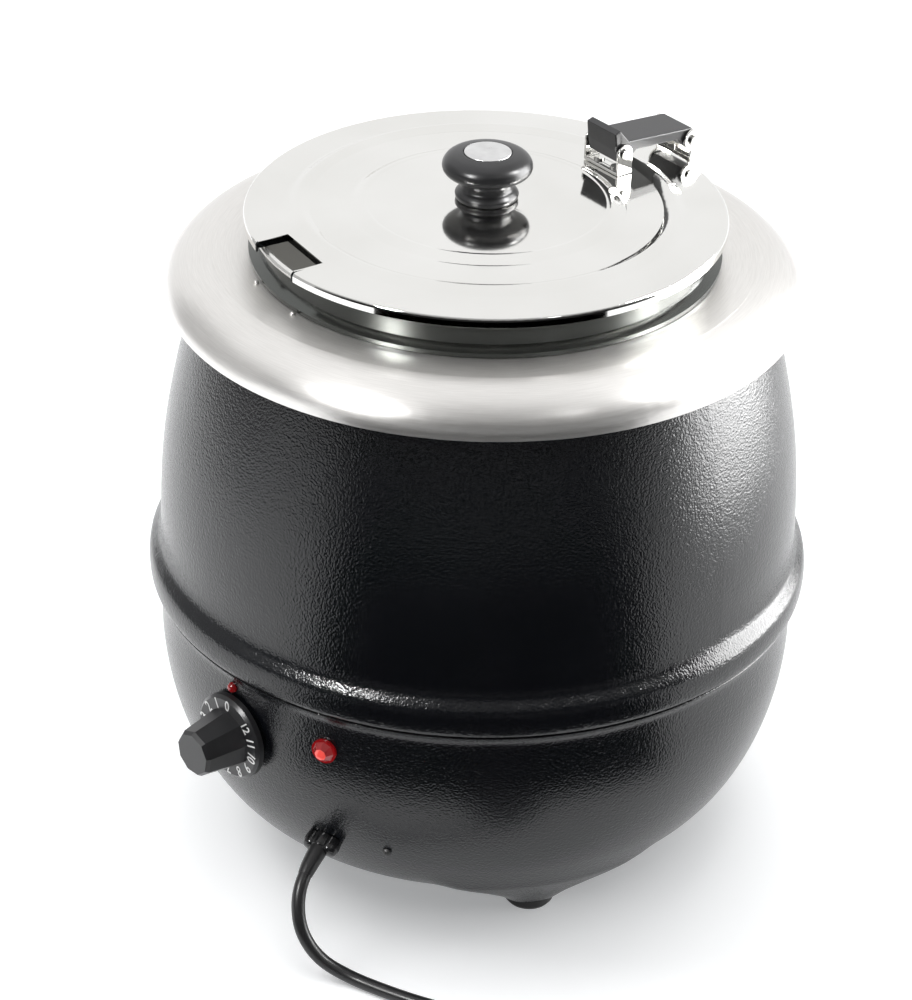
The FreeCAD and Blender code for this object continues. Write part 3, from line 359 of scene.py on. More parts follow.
def place_and_radius(material):
    """Two nodes: the place split into X, Y and Z, and its distance from the kettle's axis."""
    place = add_node(material, "ShaderNodeTexCoord")
    split = add_node(material, "ShaderNodeSeparateXYZ")
    wire(material, place, "Object", split, "Vector")
    flat = add_node(material, "ShaderNodeCombineXYZ")
    wire(material, split, "X", flat, "X")
    wire(material, split, "Y", flat, "Y")
    radius = add_node(material, "ShaderNodeVectorMath", operation="LENGTH")
    wire(material, flat, "Vector", radius, "Vector")
    return split, radius


def round_lines(material, fine, angle_scale):
    """Noise drawn out round the kettle's axis, as turning and brushing leave it."""
    split, radius = place_and_radius(material)
    turn = add_node(material, "ShaderNodeMath", operation="ARCTAN2")
    wire(material, split, "Y", turn, 0)
    wire(material, split, "X", turn, 1)
    wide = add_node(material, "ShaderNodeMath", {1: angle_scale}, operation="MULTIPLY")
    wire(material, turn, "Value", wide, 0)
    lines = add_node(material, "ShaderNodeCombineXYZ")
    wire(material, radius, "Value", lines, "X")
    wire(material, wide, "Value", lines, "Y")
    wire(material, split, "Z", lines, "Z")
    noise = add_node(material, "ShaderNodeTexNoise", {"Scale": fine, "Detail": 4.0})
    wire(material, lines, "Vector", noise, "Vector")
    return noise


def brushed_steel():
    """Collar: satin stainless brushed round the axis."""
    steel = new_material("brushed_steel", (0.76, 0.75, 0.73), 0.32, 0.88)
    shader = shader_of(steel)
    shader.inputs["Anisotropic"].default_value = 0.55
    shader.inputs["Anisotropic Rotation"].default_value = 0.25
    tangent = add_node(steel, "ShaderNodeTangent", direction_type="RADIAL", axis="Z")
    wire(steel, tangent, "Tangent", shader, "Tangent")
    lines = round_lines(steel, 2600.0, 0.004)
    bump_from(steel, lines, "Fac", 0.00003, 0.25)
    ramp_between(steel, lines, "Fac", 0.27, 0.40, shader, "Roughness")
    tint_between(steel, lines, "Fac", (0.71, 0.695, 0.675), (0.79, 0.775, 0.755))
    return steel


def mirror_steel(name, roughness, lines_depth):
    """Polished pressing with faint turning marks."""
    steel = new_material(name, (0.83, 0.825, 0.80), roughness, 1.0)
    lines = round_lines(steel, 1500.0, 0.01)
    bump_from(steel, lines, "Fac", lines_depth, 0.2)
    ramp_between(steel, lines, "Fac", roughness * 0.7, roughness * 1.35, shader_of(steel), "Roughness")
    clouds = noise_on(steel, 14.0, 3.0)
    tint_between(steel, clouds, "Fac", (0.80, 0.795, 0.77), (0.86, 0.855, 0.835))
    return steel


def lid_steel():
    """Polished lid; the turned-down sides of its ladle notch carry painted shade, a near black colour."""
    steel = mirror_steel("polished_steel_painted_notch_shade", 0.07, 0.000012)
    shader = shader_of(steel)
    clouds = shader.inputs["Base Color"].links[0].from_node
    place = add_node(steel, "ShaderNodeTexCoord")
    tests = []
    for direction, limit, test in (
        (heading(NOTCH_AZ), NOTCH_INNER_R - NOTCH_SHADE_DEPTH_MARGIN, "GREATER_THAN"),
        (sideways(NOTCH_AZ), NOTCH_WIDTH / 2 + NOTCH_SHADE_SIDE_MARGIN, "LESS_THAN"),
        (sideways(NOTCH_AZ), -NOTCH_WIDTH / 2 - NOTCH_SHADE_SIDE_MARGIN, "GREATER_THAN"),
        (Vector((0, 0, 1)), NOTCH_SHADE_TOP_Z, "LESS_THAN"),
    ):
        along = add_node(steel, "ShaderNodeVectorMath", {1: direction}, operation="DOT_PRODUCT")
        wire(steel, place, "Object", along, 0)
        inside = add_node(steel, "ShaderNodeMath", {1: limit * MM}, operation=test)
        wire(steel, along, "Value", inside, 0)
        tests.append(inside)
    notch_shade_mask = tests[0]
    for test in tests[1:]:
        both = add_node(steel, "ShaderNodeMath", operation="MULTIPLY")
        wire(steel, notch_shade_mask, "Value", both, 0)
        wire(steel, test, "Value", both, 1)
        notch_shade_mask = both
    # painted shade: the notch's turned-down sides are mixed to near black
    steel_with_painted_shade = add_node(steel, "ShaderNodeMix", data_type="RGBA")
    wire(steel, clouds, "Color", steel_with_painted_shade, "A")
    steel_with_painted_shade.inputs["B"].default_value = (0.012, 0.013, 0.014, 1)
    wire(steel, notch_shade_mask, "Value", steel_with_painted_shade, "Factor")
    wire(steel, steel_with_painted_shade, "Result", shader, "Base Color")
    return steel


def pot_steel():
    """Pot: satin steel inside and on its rim; the outside below the rim carries painted shade and
    reflection, a dark grey colour.
    """
    steel = new_material("pot_steel", (0.70, 0.695, 0.67), 0.16, 0.85)
    lines = round_lines(steel, 1500.0, 0.01)
    bump_from(steel, lines, "Fac", 0.00002, 0.2)
    ramp_between(steel, lines, "Fac", 0.10, 0.22, shader_of(steel), "Roughness")
    split, radius = place_and_radius(steel)
    outside = add_node(steel, "ShaderNodeMath", {1: POT_SHADE_FROM_R * MM}, operation="GREATER_THAN")
    wire(steel, radius, "Value", outside, 0)
    below_rim = add_node(steel, "ShaderNodeMath", {1: POT_RIM_Z * MM}, operation="LESS_THAN")
    wire(steel, split, "Z", below_rim, 0)
    painted_shade_wall = add_node(steel, "ShaderNodeMath", operation="MULTIPLY")
    wire(steel, outside, "Value", painted_shade_wall, 0)
    wire(steel, below_rim, "Value", painted_shade_wall, 1)
    # painted shade: the outside wall below the rim is mixed to a dark grey
    steel_with_painted_shade = add_node(steel, "ShaderNodeMix", data_type="RGBA")
    steel_with_painted_shade.inputs["A"].default_value = (0.74, 0.735, 0.71, 1)
    steel_with_painted_shade.inputs["B"].default_value = (0.10, 0.105, 0.10, 1)
    wire(steel, painted_shade_wall, "Value", steel_with_painted_shade, "Factor")
    wire(steel, steel_with_painted_shade, "Result", shader_of(steel), "Base Color")
    return steel


def plain_metal(name, dark, light, roughness, grain=900.0):
    """Small metal parts: colour and roughness wander, and the surface has a fine grain."""
    metal = new_material(name, light, roughness, 1.0)
    clouds = noise_on(metal, 160.0, 4.0)
    tint_between(metal, clouds, "Fac", dark, light)
    ramp_between(metal, clouds, "Fac", roughness * 0.7, roughness * 1.4, shader_of(metal), "Roughness")
    bump_from(metal, noise_on(metal, grain, 2.0), "Fac", 0.00003, 0.25)
    return metal


def moulding(name, dark, light, roughness, grain=1400.0, depth=0.00004, specular=0.5):
    """Moulded plastic or rubber with a fine grain and handling wear in its gloss."""
    plastic = new_material(name, light, roughness, specular=specular)
    clouds = noise_on(plastic, 70.0, 5.0)
    tint_between(plastic, clouds, "Fac", dark, light)
    ramp_between(plastic, clouds, "Fac", roughness * 0.8, roughness * 1.25, shader_of(plastic), "Roughness")
    bump_from(plastic, noise_on(plastic, grain, 2.0), "Fac", depth, 0.5)
    return plastic


def red_moulding(name, dark, light, glow):
    """Clear red plastic, lighter inside than at its edges."""
    red = moulding(name, dark, light, 0.12, 900.0, 0.00002)
    shader = shader_of(red)
    shader.inputs["Coat Weight"].default_value = 0.6
    shader.inputs["Coat Roughness"].default_value = 0.05
    shader.inputs["Emission Color"].default_value = (*light, 1)
    shader.inputs["Emission Strength"].default_value = glow
    return red


MATERIALS = {
    "black_coat": powder_coat(),
    "brushed_stainless": brushed_steel(),
    "pot_stainless": pot_steel(),
    "polished_stainless": mirror_steel("bright_steel", 0.07, 0.000012),
    "lid_steel": lid_steel(),
    "element_sheath": plain_metal("element_sheath", (0.20, 0.17, 0.15), (0.34, 0.30, 0.27), 0.45),
    "zinc_steel": plain_metal("zinc_steel", (0.50, 0.50, 0.49), (0.66, 0.66, 0.65), 0.30),
    "grey_plastic": moulding("grey_plastic", (0.09, 0.09, 0.095), (0.13, 0.13, 0.135), 0.45),
    "copper_bulb": plain_metal("copper_bulb", (0.60, 0.33, 0.22), (0.76, 0.46, 0.33), 0.32),
    "red_plastic": red_moulding("red_plastic", (0.22, 0.003, 0.005), (0.42, 0.008, 0.010), 0.05),
    "red_light": red_moulding("red_light", (0.72, 0.05, 0.04), (0.85, 0.10, 0.08), 0.30),
    "white_ceramic": moulding("white_ceramic", (0.76, 0.75, 0.71), (0.86, 0.85, 0.81), 0.6),
    "black_plastic": moulding("black_plastic", (0.014, 0.014, 0.015), (0.022, 0.022, 0.024), 0.30),
    "brushed_disc": plain_metal("brushed_disc", (0.66, 0.66, 0.66), (0.76, 0.76, 0.76), 0.30),
    "foot_rubber": moulding("foot_rubber", (0.014, 0.014, 0.014), (0.022, 0.022, 0.022), 0.55),
    "lead_rubber": moulding("lead_rubber", (0.011, 0.011, 0.012), (0.018, 0.018, 0.019), 0.33),
    "gloss_plastic": moulding("gloss_plastic", (0.010, 0.010, 0.011), (0.016, 0.016, 0.017), 0.14),
    "dull_screw": plain_metal("dull_screw", (0.06, 0.06, 0.06), (0.12, 0.12, 0.12), 0.45),
    "print_white": moulding("print_white", (0.74, 0.74, 0.73), (0.86, 0.86, 0.85), 0.5),
    "pin_brass": plain_metal("pin_brass", (0.68, 0.64, 0.52), (0.80, 0.76, 0.66), 0.22),
}


def finish_all_nodes():
    """Every CAD node takes the material of its own slot in the record, apart from the earth screw and the
    lid panel, which take materials of their own.
    """
    own = {"earth_screw": MATERIALS["dull_screw"], "lid_panel": MATERIALS["lid_steel"]}
    for part in frame["record"]["subparts"]:
        finish_node(part["node"], own.get(part["node"], MATERIALS[part["material_slot"]]))


# ---------------------------------------------------------------- lead, coil and plug
# Control points of the lead's line, before the coil and after it.
LEAD_ROUTE = [
    GLAND_MOUTH,
    (43.38, -170.20, 49.47),
    (47.9, -179.2, 38.7),
    (54.3, -182.5, 24.9),
    (63.7, -178.9, 11.3),
    (78.0, -171.2, 3.8),
    (96.0, -166.8, 3.5),
    (116.0, -161.0, 3.5),
    (140.0, -151.0, 3.5),
    (166.0, -137.5, 3.5),
    (190.0, -126.4, 3.5),
]
LEAD_TAIL = [
    (260.5, -185.0, 10.5),
    (264.0, -203.0, 11.5),
    (269.5, -219.0, 14.5),
    (273.5, -233.0, 18.5),
    (273.5, -246.0, 18.5),
]


def eased(t, start, end):
    """0 before start, 1 after end and a smooth step between."""
    share = min(max((t - start) / (end - start), 0.0), 1.0)
    return share * share * (3 - 2 * share)


def coil_points():
    """Turns of the coil: inwards on the surface, up, and outwards again on top of them."""
    outer, middle, inner = COIL_TURN_RADII
    widen = 1 / math.cos(math.pi / COIL_POINTS_PER_TURN)
    points = []
    count = int(COIL_END * COIL_POINTS_PER_TURN)
    for index in range(count + 1):
        t = index / COIL_POINTS_PER_TURN
        r = outer
        for begin, change in (
            (COIL_IN_AT[0], middle - outer),
            (COIL_IN_AT[1], inner - middle),
            (COIL_OUT_AT[0], middle - inner),
            (COIL_OUT_AT[1], outer - middle),
        ):
            r += change * eased(t, begin, begin + COIL_STEP)
        z = CORD_R + 2 * CORD_R * eased(t, COIL_UP_AT, COIL_UP_AT + COIL_STEP)
        angle = math.pi / 2 - 2 * math.pi * t
        x = COIL_CENTRE[0] + r * widen * math.cos(angle)
        y = COIL_CENTRE[1] + r * widen * math.sin(angle)
        points.append((x, y, z))
    return points


def nurbs_piece(name, points, radius, material):
    """Round cord along a smooth NURBS line."""
    curve = bpy.data.curves.new(name, "CURVE")
    curve.dimensions = "3D"
    spline = curve.splines.new("NURBS")
    spline.points.add(len(points) - 1)
    for target, point in zip(spline.points, points):
        target.co = (*metres(point), 1)
    spline.order_u = 3
    spline.use_endpoint_u = True
    curve.resolution_u = 8
    curve.bevel_depth = radius * MM
    curve.bevel_resolution = 5
    curve.use_fill_caps = True
    curve.materials.append(material)
    piece = bpy.data.objects.new(name, curve)
    bpy.context.scene.collection.objects.link(piece)
    return piece


def line_of(curve_piece):
    """Points down the middle of a curve piece, in millimetres."""
    bare = bpy.data.objects.new("bare_line", curve_piece.data.copy())
    bare.data.bevel_depth = 0
    mesh = bpy.data.meshes.new_from_object(bare)
    line = [vertex.co / MM for vertex in mesh.vertices]
    bpy.data.meshes.remove(mesh)
    bpy.data.curves.remove(bare.data)
    return line


def sleeve_along(name, line, start, end, radii, material, sides=28):
    """Tapered sleeve that follows a line between two lengths along it; radii are (share, radius)."""
    lengths = [0.0]
    for before, after in zip(line, line[1:]):
        lengths.append(lengths[-1] + (after - before).length)
    steps = 40
    points = []
    for step in range(steps + 1):
        share = step / steps
        reach = start + (end - start) * share
        centre = Vector([float(np.interp(reach, lengths, [p[k] for p in line])) for k in range(3)])
        ahead = Vector([float(np.interp(reach + 0.5, lengths, [p[k] for p in line])) for k in range(3)])
        if reach < 0:
            direction = (line[1] - line[0]).normalized()
            centre = line[0] + direction * reach
        else:
            direction = (ahead - centre).normalized()
        across = direction.cross(Vector((0, 0, 1))).normalized()
        up = across.cross(direction)
        radius = float(np.interp(share, [s for s, _ in radii], [r for _, r in radii]))
        for side in range(sides):
            angle = 2 * math.pi * side / sides
            points.append(centre + (across * math.cos(angle) + up * math.sin(angle)) * radius)
    faces = []
    for step in range(steps):
        for side in range(sides):
            after = (side + 1) % sides
            here = step * sides
            faces.append((here + side, here + after, here + sides + after, here + sides + side))
    faces.append(tuple(range(sides))[::-1])
    faces.append(tuple(steps * sides + side for side in range(sides)))
    return mesh_piece(name, points, faces, material)


def plug():
    """Generic round moulded plug on its side: ribbed sleeve, shoulder, grip flats and recessed face."""
    outline = [(0.0, 0.5), (5.2, 0.5)]
    for rib in range(PLUG_RIBS):
        start = 1.0 + rib * PLUG_RIB_STEP
        wide = 6.0 + rib * 0.55
        outline += [(wide, start), (wide, start + 1.6), (wide - 1.1, start + 1.7), (wide - 1.1, start + 2.5)]
    outline += [(9.2, 14.0), (11.0, 15.6), (14.5, 18.2), (17.0, 20.6), (18.0, 23.0), (PLUG_R, 26.0)]
    outline += [(PLUG_R, 40.5), (17.8, 42.6), (16.6, 43.8), (14.8, 43.9), (14.4, 42.6), (0.0, 42.6)]
    axes = (Vector((1, 0, 0)), Vector((0, 0, 1)), Vector((0, -1, 0)))
    body = capped("plug", outline, MATERIALS["lead_rubber"], 96, Vector(PLUG_START), axes)
    for vertex in body.data.vertices:
        across = vertex.co.x / MM - PLUG_START[0]
        along = PLUG_START[1] - vertex.co.y / MM
        if PLUG_FLAT_START < along < PLUG_FLAT_END and abs(across) > PLUG_FLAT:
            flattened = PLUG_FLAT + PLUG_FLAT_CROWN * (abs(across) - PLUG_FLAT)
            vertex.co.x = (PLUG_START[0] + math.copysign(flattened, across)) * MM
    return body


def coil_tie():
    """Tie: a flat band round the coil's turns."""
    mid_r = COIL_TURN_RADII[1]
    angle = math.radians(TIE_TURN)
    outward = Vector((math.cos(angle), math.sin(angle), 0))
    along = Vector((-math.sin(angle), math.cos(angle), 0))
    half_w = 3 * CORD_R + TIE_CLEARANCE
    half_h = 2 * CORD_R
    centre = Vector((*COIL_CENTRE, half_h)) + outward * mid_r
    corner = TIE_CORNER_R
    loop = []
    for sign_w, sign_h, start in ((1, 1, 0), (-1, 1, 90), (-1, -1, 180), (1, -1, 270)):
        middle = (sign_w * (half_w - corner), sign_h * (half_h - corner))
        for step in range(9):
            turn = math.radians(start + 90 * step / 8)
            loop.append((middle[0] + corner * math.cos(turn), middle[1] + corner * math.sin(turn)))
    points = []
    profile = (
        (-TIE_HALF_WIDTH, 0.0), (-TIE_HALF_WIDTH, -TIE_THICKNESS),
        (TIE_HALF_WIDTH, -TIE_THICKNESS), (TIE_HALF_WIDTH, 0.0),
    )
    for w, h in loop:
        scale = math.hypot(w, h)
        for side, depth in profile:
            shrink = 1 + depth / scale
            points.append(centre + outward * (w * shrink) + Vector((0, 0, h * shrink)) + along * side)
    faces = []
    count = len(loop)
    for index in range(count):
        after = (index + 1) % count
        for k in range(4):
            j = (k + 1) % 4
            faces.append((index * 4 + k, after * 4 + k, after * 4 + j, index * 4 + j))
    return mesh_piece("coil_tie", points, faces, MATERIALS["black_plastic"])


def make_lead():
    """The mains lead with its coil, tie and plug; returns the lead's middle line."""
    lead = nurbs_piece("lead", LEAD_ROUTE + coil_points() + LEAD_TAIL, CORD_R, MATERIALS["lead_rubber"])
    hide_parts("power_cord", "cord_coil", "cord_tail")
    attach(lead, "kettle")
    body = plug()
    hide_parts("plug_body")
    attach(body, "kettle")
    tie = coil_tie()
    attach(tie, "kettle")
    line = line_of(lead)
    return line


# ---------------------------------------------------------------- lower casing with its pressed legs
def smooth_larger(a, b, blend):
    """The larger of two distances, rounded over where they are close."""
    near = np.maximum(blend - np.abs(a - b), 0.0) / blend
    return np.maximum(a, b) + near * near * blend / 4


def bowl_outline():
    """Outer (r, z) line of the plain bowl from its middle to the straight wall."""
    line = [(0.0, BOTTOM_Z), (40.0, BOTTOM_Z), (80.0, BOTTOM_Z)]
    for step in range(61):
        angle = math.radians(90 - 1.5 * step)
        across = abs(math.cos(angle)) ** (2 / WALL_EXPONENT)
        drop = abs(math.sin(angle)) ** (2 / WALL_EXPONENT)
        r = BOTTOM_FLAT_R + (WALL_R - BOTTOM_FLAT_R) * across
        line.append((r, WALL_CURVE_TOP_Z - (WALL_CURVE_TOP_Z - BOTTOM_Z) * drop))
    return line


def leg_reach(azimuths, tilts):
    """How far each line from the blend centre runs before it leaves a leg; 0 where it meets none."""
    flare_z, flare_r = zip(*LEG_FLARE)
    limit_z, limit_r = zip(*LEG_LIMIT)
    reach = np.arange(LEG_SEARCH_START, LEG_SEARCH_END, LEG_SEARCH_STEP)
    nearest = np.min([np.abs((azimuths - foot + 180) % 360 - 180) for foot in FOOT_AZIMUTHS], axis=0)
    result = np.zeros((len(azimuths), len(tilts)))
    for index, turn in enumerate(np.radians(nearest)):
        r = np.outer(np.sin(tilts), reach)
        z = LEG_CENTRE_Z - np.outer(np.cos(tilts), reach)
        from_foot = np.hypot(r * math.cos(turn) - FOOT_CIRCLE_R, r * math.sin(turn))
        flare = from_foot - np.interp(z, flare_z, flare_r)
        limit = r - np.interp(z, limit_z, limit_r)
        slab = np.maximum(FOOT_TOP_Z - z, z - LEG_TOP_Z)
        outside = np.maximum(smooth_larger(flare, limit, LEG_EDGE_BLEND), slab)
        inside = outside < 0
        last = inside.shape[1] - 2 - np.argmax(inside[:, -2::-1], axis=1)
        rows = np.arange(len(tilts))
        here = outside[rows, last]
        there = outside[rows, last + 1]
        share = np.where(inside.any(axis=1), -here / np.where(there == here, 1, there - here), 0)
        result[index] = np.where(inside.any(axis=1), reach[last] + LEG_SEARCH_STEP * share, 0)
    return result


def make_lower_casing():
    """Lower casing as one sheet, its bottom blended into three pressed legs."""
    azimuths = np.linspace(0, 360, CASING_STEPS_ROUND, endpoint=False)
    bowl = np.array(bowl_outline())
    bowl_tilts = np.arctan2(bowl[:, 0], LEG_CENTRE_Z - bowl[:, 1])
    bowl_reach = np.hypot(bowl[:, 0], LEG_CENTRE_Z - bowl[:, 1])
    low = math.atan2(BOTTOM_HOLE_R, LEG_CENTRE_Z - BOTTOM_Z)
    high = math.atan2(WALL_R, LEG_CENTRE_Z - WALL_CURVE_TOP_Z)
    tilts = np.linspace(high, low, CASING_STEPS_DOWN)
    plain = np.interp(tilts, bowl_tilts, bowl_reach)
    reach = smooth_larger(plain[None, :], leg_reach(azimuths, tilts), LEG_BLEND)
    reach = np.minimum(reach, (LEG_CENTRE_Z - FOOT_TOP_Z) / np.cos(tilts)[None, :])
    lip = [(164.0, 146.4), (170.6, 146.4)]
    lip += flowing([(170.8, 146.0), (169.4, 144.6), (167.5, 141.5), (166.8, 137.0), (166.8, 124.0)], 5)
    inner_top = [(165.6, 124.0), (165.6, 137.0), (167.2, 143.0), (168.4, 145.2)]
    inner_top += [(162.8, 145.2), (162.8, 166.0)]
    points = []
    for azimuth, row in zip(azimuths, reach):
        outward = heading(azimuth)
        outer = list(zip(row * np.sin(tilts), LEG_CENTRE_Z - row * np.cos(tilts)))
        thin = row - SHEET
        inner = list(zip(thin * np.sin(tilts), LEG_CENTRE_Z - thin * np.cos(tilts)))
        for r, z in [(164.0, 166.0)] + lip + outer + inner[::-1] + inner_top:
            points.append(outward * float(r) + Vector((0, 0, float(z))))
    count = len(points) // len(azimuths)
    faces = []
    for step in range(len(azimuths)):
        here = step * count
        there = ((step + 1) % len(azimuths)) * count
        for index in range(count):
            after = (index + 1) % count
            faces.append((here + index, here + after, there + after, there + index))
    shell = mesh_piece("lower_casing", points, faces, MATERIALS["black_coat"], CASING_SHARP_ANGLE)
    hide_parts("lower_shell")
    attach(shell, "kettle")


# ---------------------------------------------------------------- gland, knob and dial
def make_gland(line):
    """Two rounded lobes with the lead between them, and a tapered sleeve round the lead."""
    direction = Vector(GLAND_DIRECTION)
    side = sideways(GLAND_AZ)
    axes = (side, direction.cross(side).normalized(), direction)
    base = Vector(GLAND_POINT)
    plastic = MATERIALS["gloss_plastic"]
    steps = 36
    lobe_outline = [(0.0, 0.0), (4.4, 0.0)]
    lobe_outline += flowing([(4.5, 1.0), (4.75, 3.6), (4.5, 6.2), (3.6, 7.6), (1.8, 8.3), (0.0, 8.5)], 4)
    lobes = []
    for name, sign in (("gland_lobe_left", -1), ("gland_lobe_right", 1)):
        centre = base + side * (GLAND_LOBE_OFFSET * sign) + direction * GLAND_LOBE_LIFT
        lobes.append(capped(name, lobe_outline, plastic, steps, centre, axes))
    collar_outline = [(0.0, 0.0), (5.6, 0.0), (5.6, 5.4)] + flowing([(5.4, 6.2), (4.6, 7.2), (0.0, 7.4)], 4)
    middle = capped("gland_middle", collar_outline, plastic, steps, base, axes)
    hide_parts("cord_gland")
    sleeve = sleeve_along(
        "strain_relief", line, SLEEVE_START, SLEEVE_END, SLEEVE_RADII, MATERIALS["lead_rubber"],
    )
    for piece in lobes + [middle, sleeve]:
        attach(piece, "kettle")


def make_knob():
    """Mushroom knob: collar, waist and rounded cap with a recess for its disc."""
    z = KNOB_BASE_Z
    line = [(2.6, z), (15.2, z), (15.7, z + 0.5)]
    waist = [(15.9, 1.6), (15.9, 2.8), (14.6, 4.4), (13.2, 5.8), (12.7, 8.0)]
    flare = [(12.9, 9.6), (14.6, 11.3), (18.2, 12.4), (20.8, 13.6), (22.3, 15.4)]
    crown = [(22.7, 17.0), (22.3, 19.2), (20.6, 21.6), (17.6, 23.3), (13.2, 24.2)]
    for stretch, steps in ((waist, 5), (flare, 5), (crown, 6)):
        line += flowing([(r, z + height) for r, height in stretch], steps)
    line += [(12.4, z + 24.2), (12.15, z + 23.9), (12.1, z + 23.4), (2.6, z + 23.4)]
    knob = turned("knob_grip", line, MATERIALS["black_plastic"], 128)
    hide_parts("knob")
    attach(knob, "lid")


def make_lamp_light():
    """Small bright crown on the neon lamp's faceted lens."""
    outward = heading(LAMP_AZ)
    face = at(LAMP_AZ, LAMP_FACE_S, 0, LAMP_Z)
    axes = (sideways(LAMP_AZ), Vector((0, 0, 1)), outward)
    outline = [(3.15, 0.0), (3.05, 0.18), (2.6, 0.34), (0.0, 0.42)]
    crown = capped("lamp_crown", outline, MATERIALS["red_light"], 8, face, axes)
    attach(crown, "kettle")


def make_dial_numbers():
    """Printed numbers round the dial's skirt: 0 at the top, then 12 down to 1 going clockwise."""
    points = []
    faces = []
    centre = at(DIAL_AZ, DIAL_FACE_S + DIAL_NUMBER_LIFT, 0, DIAL_Z)
    right = sideways(DIAL_AZ)
    outward = heading(DIAL_AZ)
    up = Vector((0, 0, 1))
    for number in range(DIAL_HIGHEST + 1):
        angle = math.radians(0 if number == 0 else 360 - DIAL_STEP * number)
        text = bpy.data.curves.new("number", "FONT")
        text.body = str(number)
        text.size = DIAL_NUMBER_SIZE
        text.align_x = "CENTER"
        text.align_y = "CENTER"
        text.extrude = DIAL_NUMBER_THICKNESS
        text.space_character = DIAL_NUMBER_SPACING
        text.offset = DIAL_NUMBER_BOLDNESS
        holder = bpy.data.objects.new("number", text)
        shape = bpy.data.meshes.new_from_object(holder)
        across = right * math.cos(angle) - up * math.sin(angle)
        rise = right * math.sin(angle) + up * math.cos(angle)
        start = len(points)
        for vertex in shape.vertices:
            flat = across * (vertex.co.x * DIAL_NUMBER_NARROWING) + rise * (vertex.co.y + DIAL_NUMBER_R)
            points.append(centre + flat + outward * vertex.co.z)
        for face in shape.polygons:
            faces.append(tuple(start + index for index in face.vertices))
        bpy.data.objects.remove(holder)
        bpy.data.curves.remove(text)
        bpy.data.meshes.remove(shape)
    numbers = mesh_piece("dial_numbers", points, faces, MATERIALS["print_white"])
    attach(numbers, "dial")


def round_edges(name, width):
    """Takes the sharpness off a CAD node's edges."""
    node = frame["nodes"][name]
    weld = node.modifiers.new("weld", "WELD")
    weld.merge_threshold = WELD_GAP * MM
    bevel = node.modifiers.new("rounding", "BEVEL")
    bevel.width = width * MM
    bevel.segments = 2
    bevel.limit_method = "ANGLE"
    bevel.angle_limit = math.radians(EDGE_SHARPNESS)
    bevel.use_clamp_overlap = True
    bevel.harden_normals = True


# ---------------------------------------------------------------- stage, light and camera
def make_floor():
    """Plain pale floor."""
    size = FLOOR_HALF_SIZE
    corners = [(-size, -size, 0), (size, -size, 0), (size, size, 0), (-size, size, 0)]
    mesh = bpy.data.meshes.new("floor")
    mesh.from_pydata(corners, [], [(0, 1, 2, 3)])
    floor = bpy.data.objects.new("floor", mesh)
    bpy.context.scene.collection.objects.link(floor)
    paper = new_material("floor_paper", (0.86, 0.865, 0.87), 0.75, specular=0.15)
    shader_of(paper).inputs["Emission Color"].default_value = (0.97, 0.985, 1.0, 1)
    shader_of(paper).inputs["Emission Strength"].default_value = FLOOR_GLOW
    clouds = noise_on(paper, 2.0, 3.0)
    tint_between(paper, clouds, "Fac", (0.85, 0.855, 0.86), (0.875, 0.88, 0.885))
    bump_from(paper, noise_on(paper, 500.0, 2.0), "Fac", 0.00005, 0.1)
    mesh.materials.append(paper)


def make_world():
    """White to the eye; the reflections see a bright back and sides and a dim front."""
    world = bpy.data.worlds.new("studio")
    world.use_nodes = True
    bpy.context.scene.world = world
    tree = world.node_tree
    nodes = tree.nodes
    links = tree.links
    background = nodes["Background"]
    place = nodes.new("ShaderNodeTexCoord")
    facing = nodes.new("ShaderNodeVectorMath")
    facing.operation = "DOT_PRODUCT"
    rise = math.radians(WORLD_BACK_RISE)
    back = heading(WORLD_BACK_AZ) * math.cos(rise) + Vector((0, 0, math.sin(rise)))
    facing.inputs[1].default_value = back
    links.new(place.outputs["Generated"], facing.inputs[0])
    span = nodes.new("ShaderNodeMapRange")
    span.interpolation_type = "SMOOTHSTEP"
    span.inputs["From Min"].default_value = WORLD_BACK_FADE[0]
    span.inputs["From Max"].default_value = WORLD_BACK_FADE[1]
    span.inputs["To Min"].default_value = WORLD_DIMMEST
    span.inputs["To Max"].default_value = 1.0
    links.new(facing.outputs["Value"], span.inputs["Value"])
    eye = nodes.new("ShaderNodeLightPath")
    pick = nodes.new("ShaderNodeMix")
    pick.data_type = "FLOAT"
    pick.inputs["B"].default_value = 1.0
    links.new(eye.outputs["Is Camera Ray"], pick.inputs["Factor"])
    split = nodes.new("ShaderNodeSeparateXYZ")
    links.new(place.outputs["Generated"], split.inputs["Vector"])
    overhead = nodes.new("ShaderNodeMapRange")
    overhead.interpolation_type = "SMOOTHSTEP"
    overhead.inputs["From Min"].default_value = WORLD_TOP_FADE[0]
    overhead.inputs["From Max"].default_value = WORLD_TOP_FADE[1]
    overhead.inputs["To Max"].default_value = WORLD_TOP
    links.new(split.outputs["Z"], overhead.inputs["Value"])
    brighter = nodes.new("ShaderNodeMath")
    brighter.operation = "MAXIMUM"
    links.new(span.outputs["Result"], brighter.inputs[0])
    links.new(overhead.outputs["Result"], brighter.inputs[1])
    links.new(brighter.outputs["Value"], pick.inputs["A"])
    links.new(pick.outputs["Result"], background.inputs["Strength"])
    background.inputs["Color"].default_value = (1, 1, 1, 1)


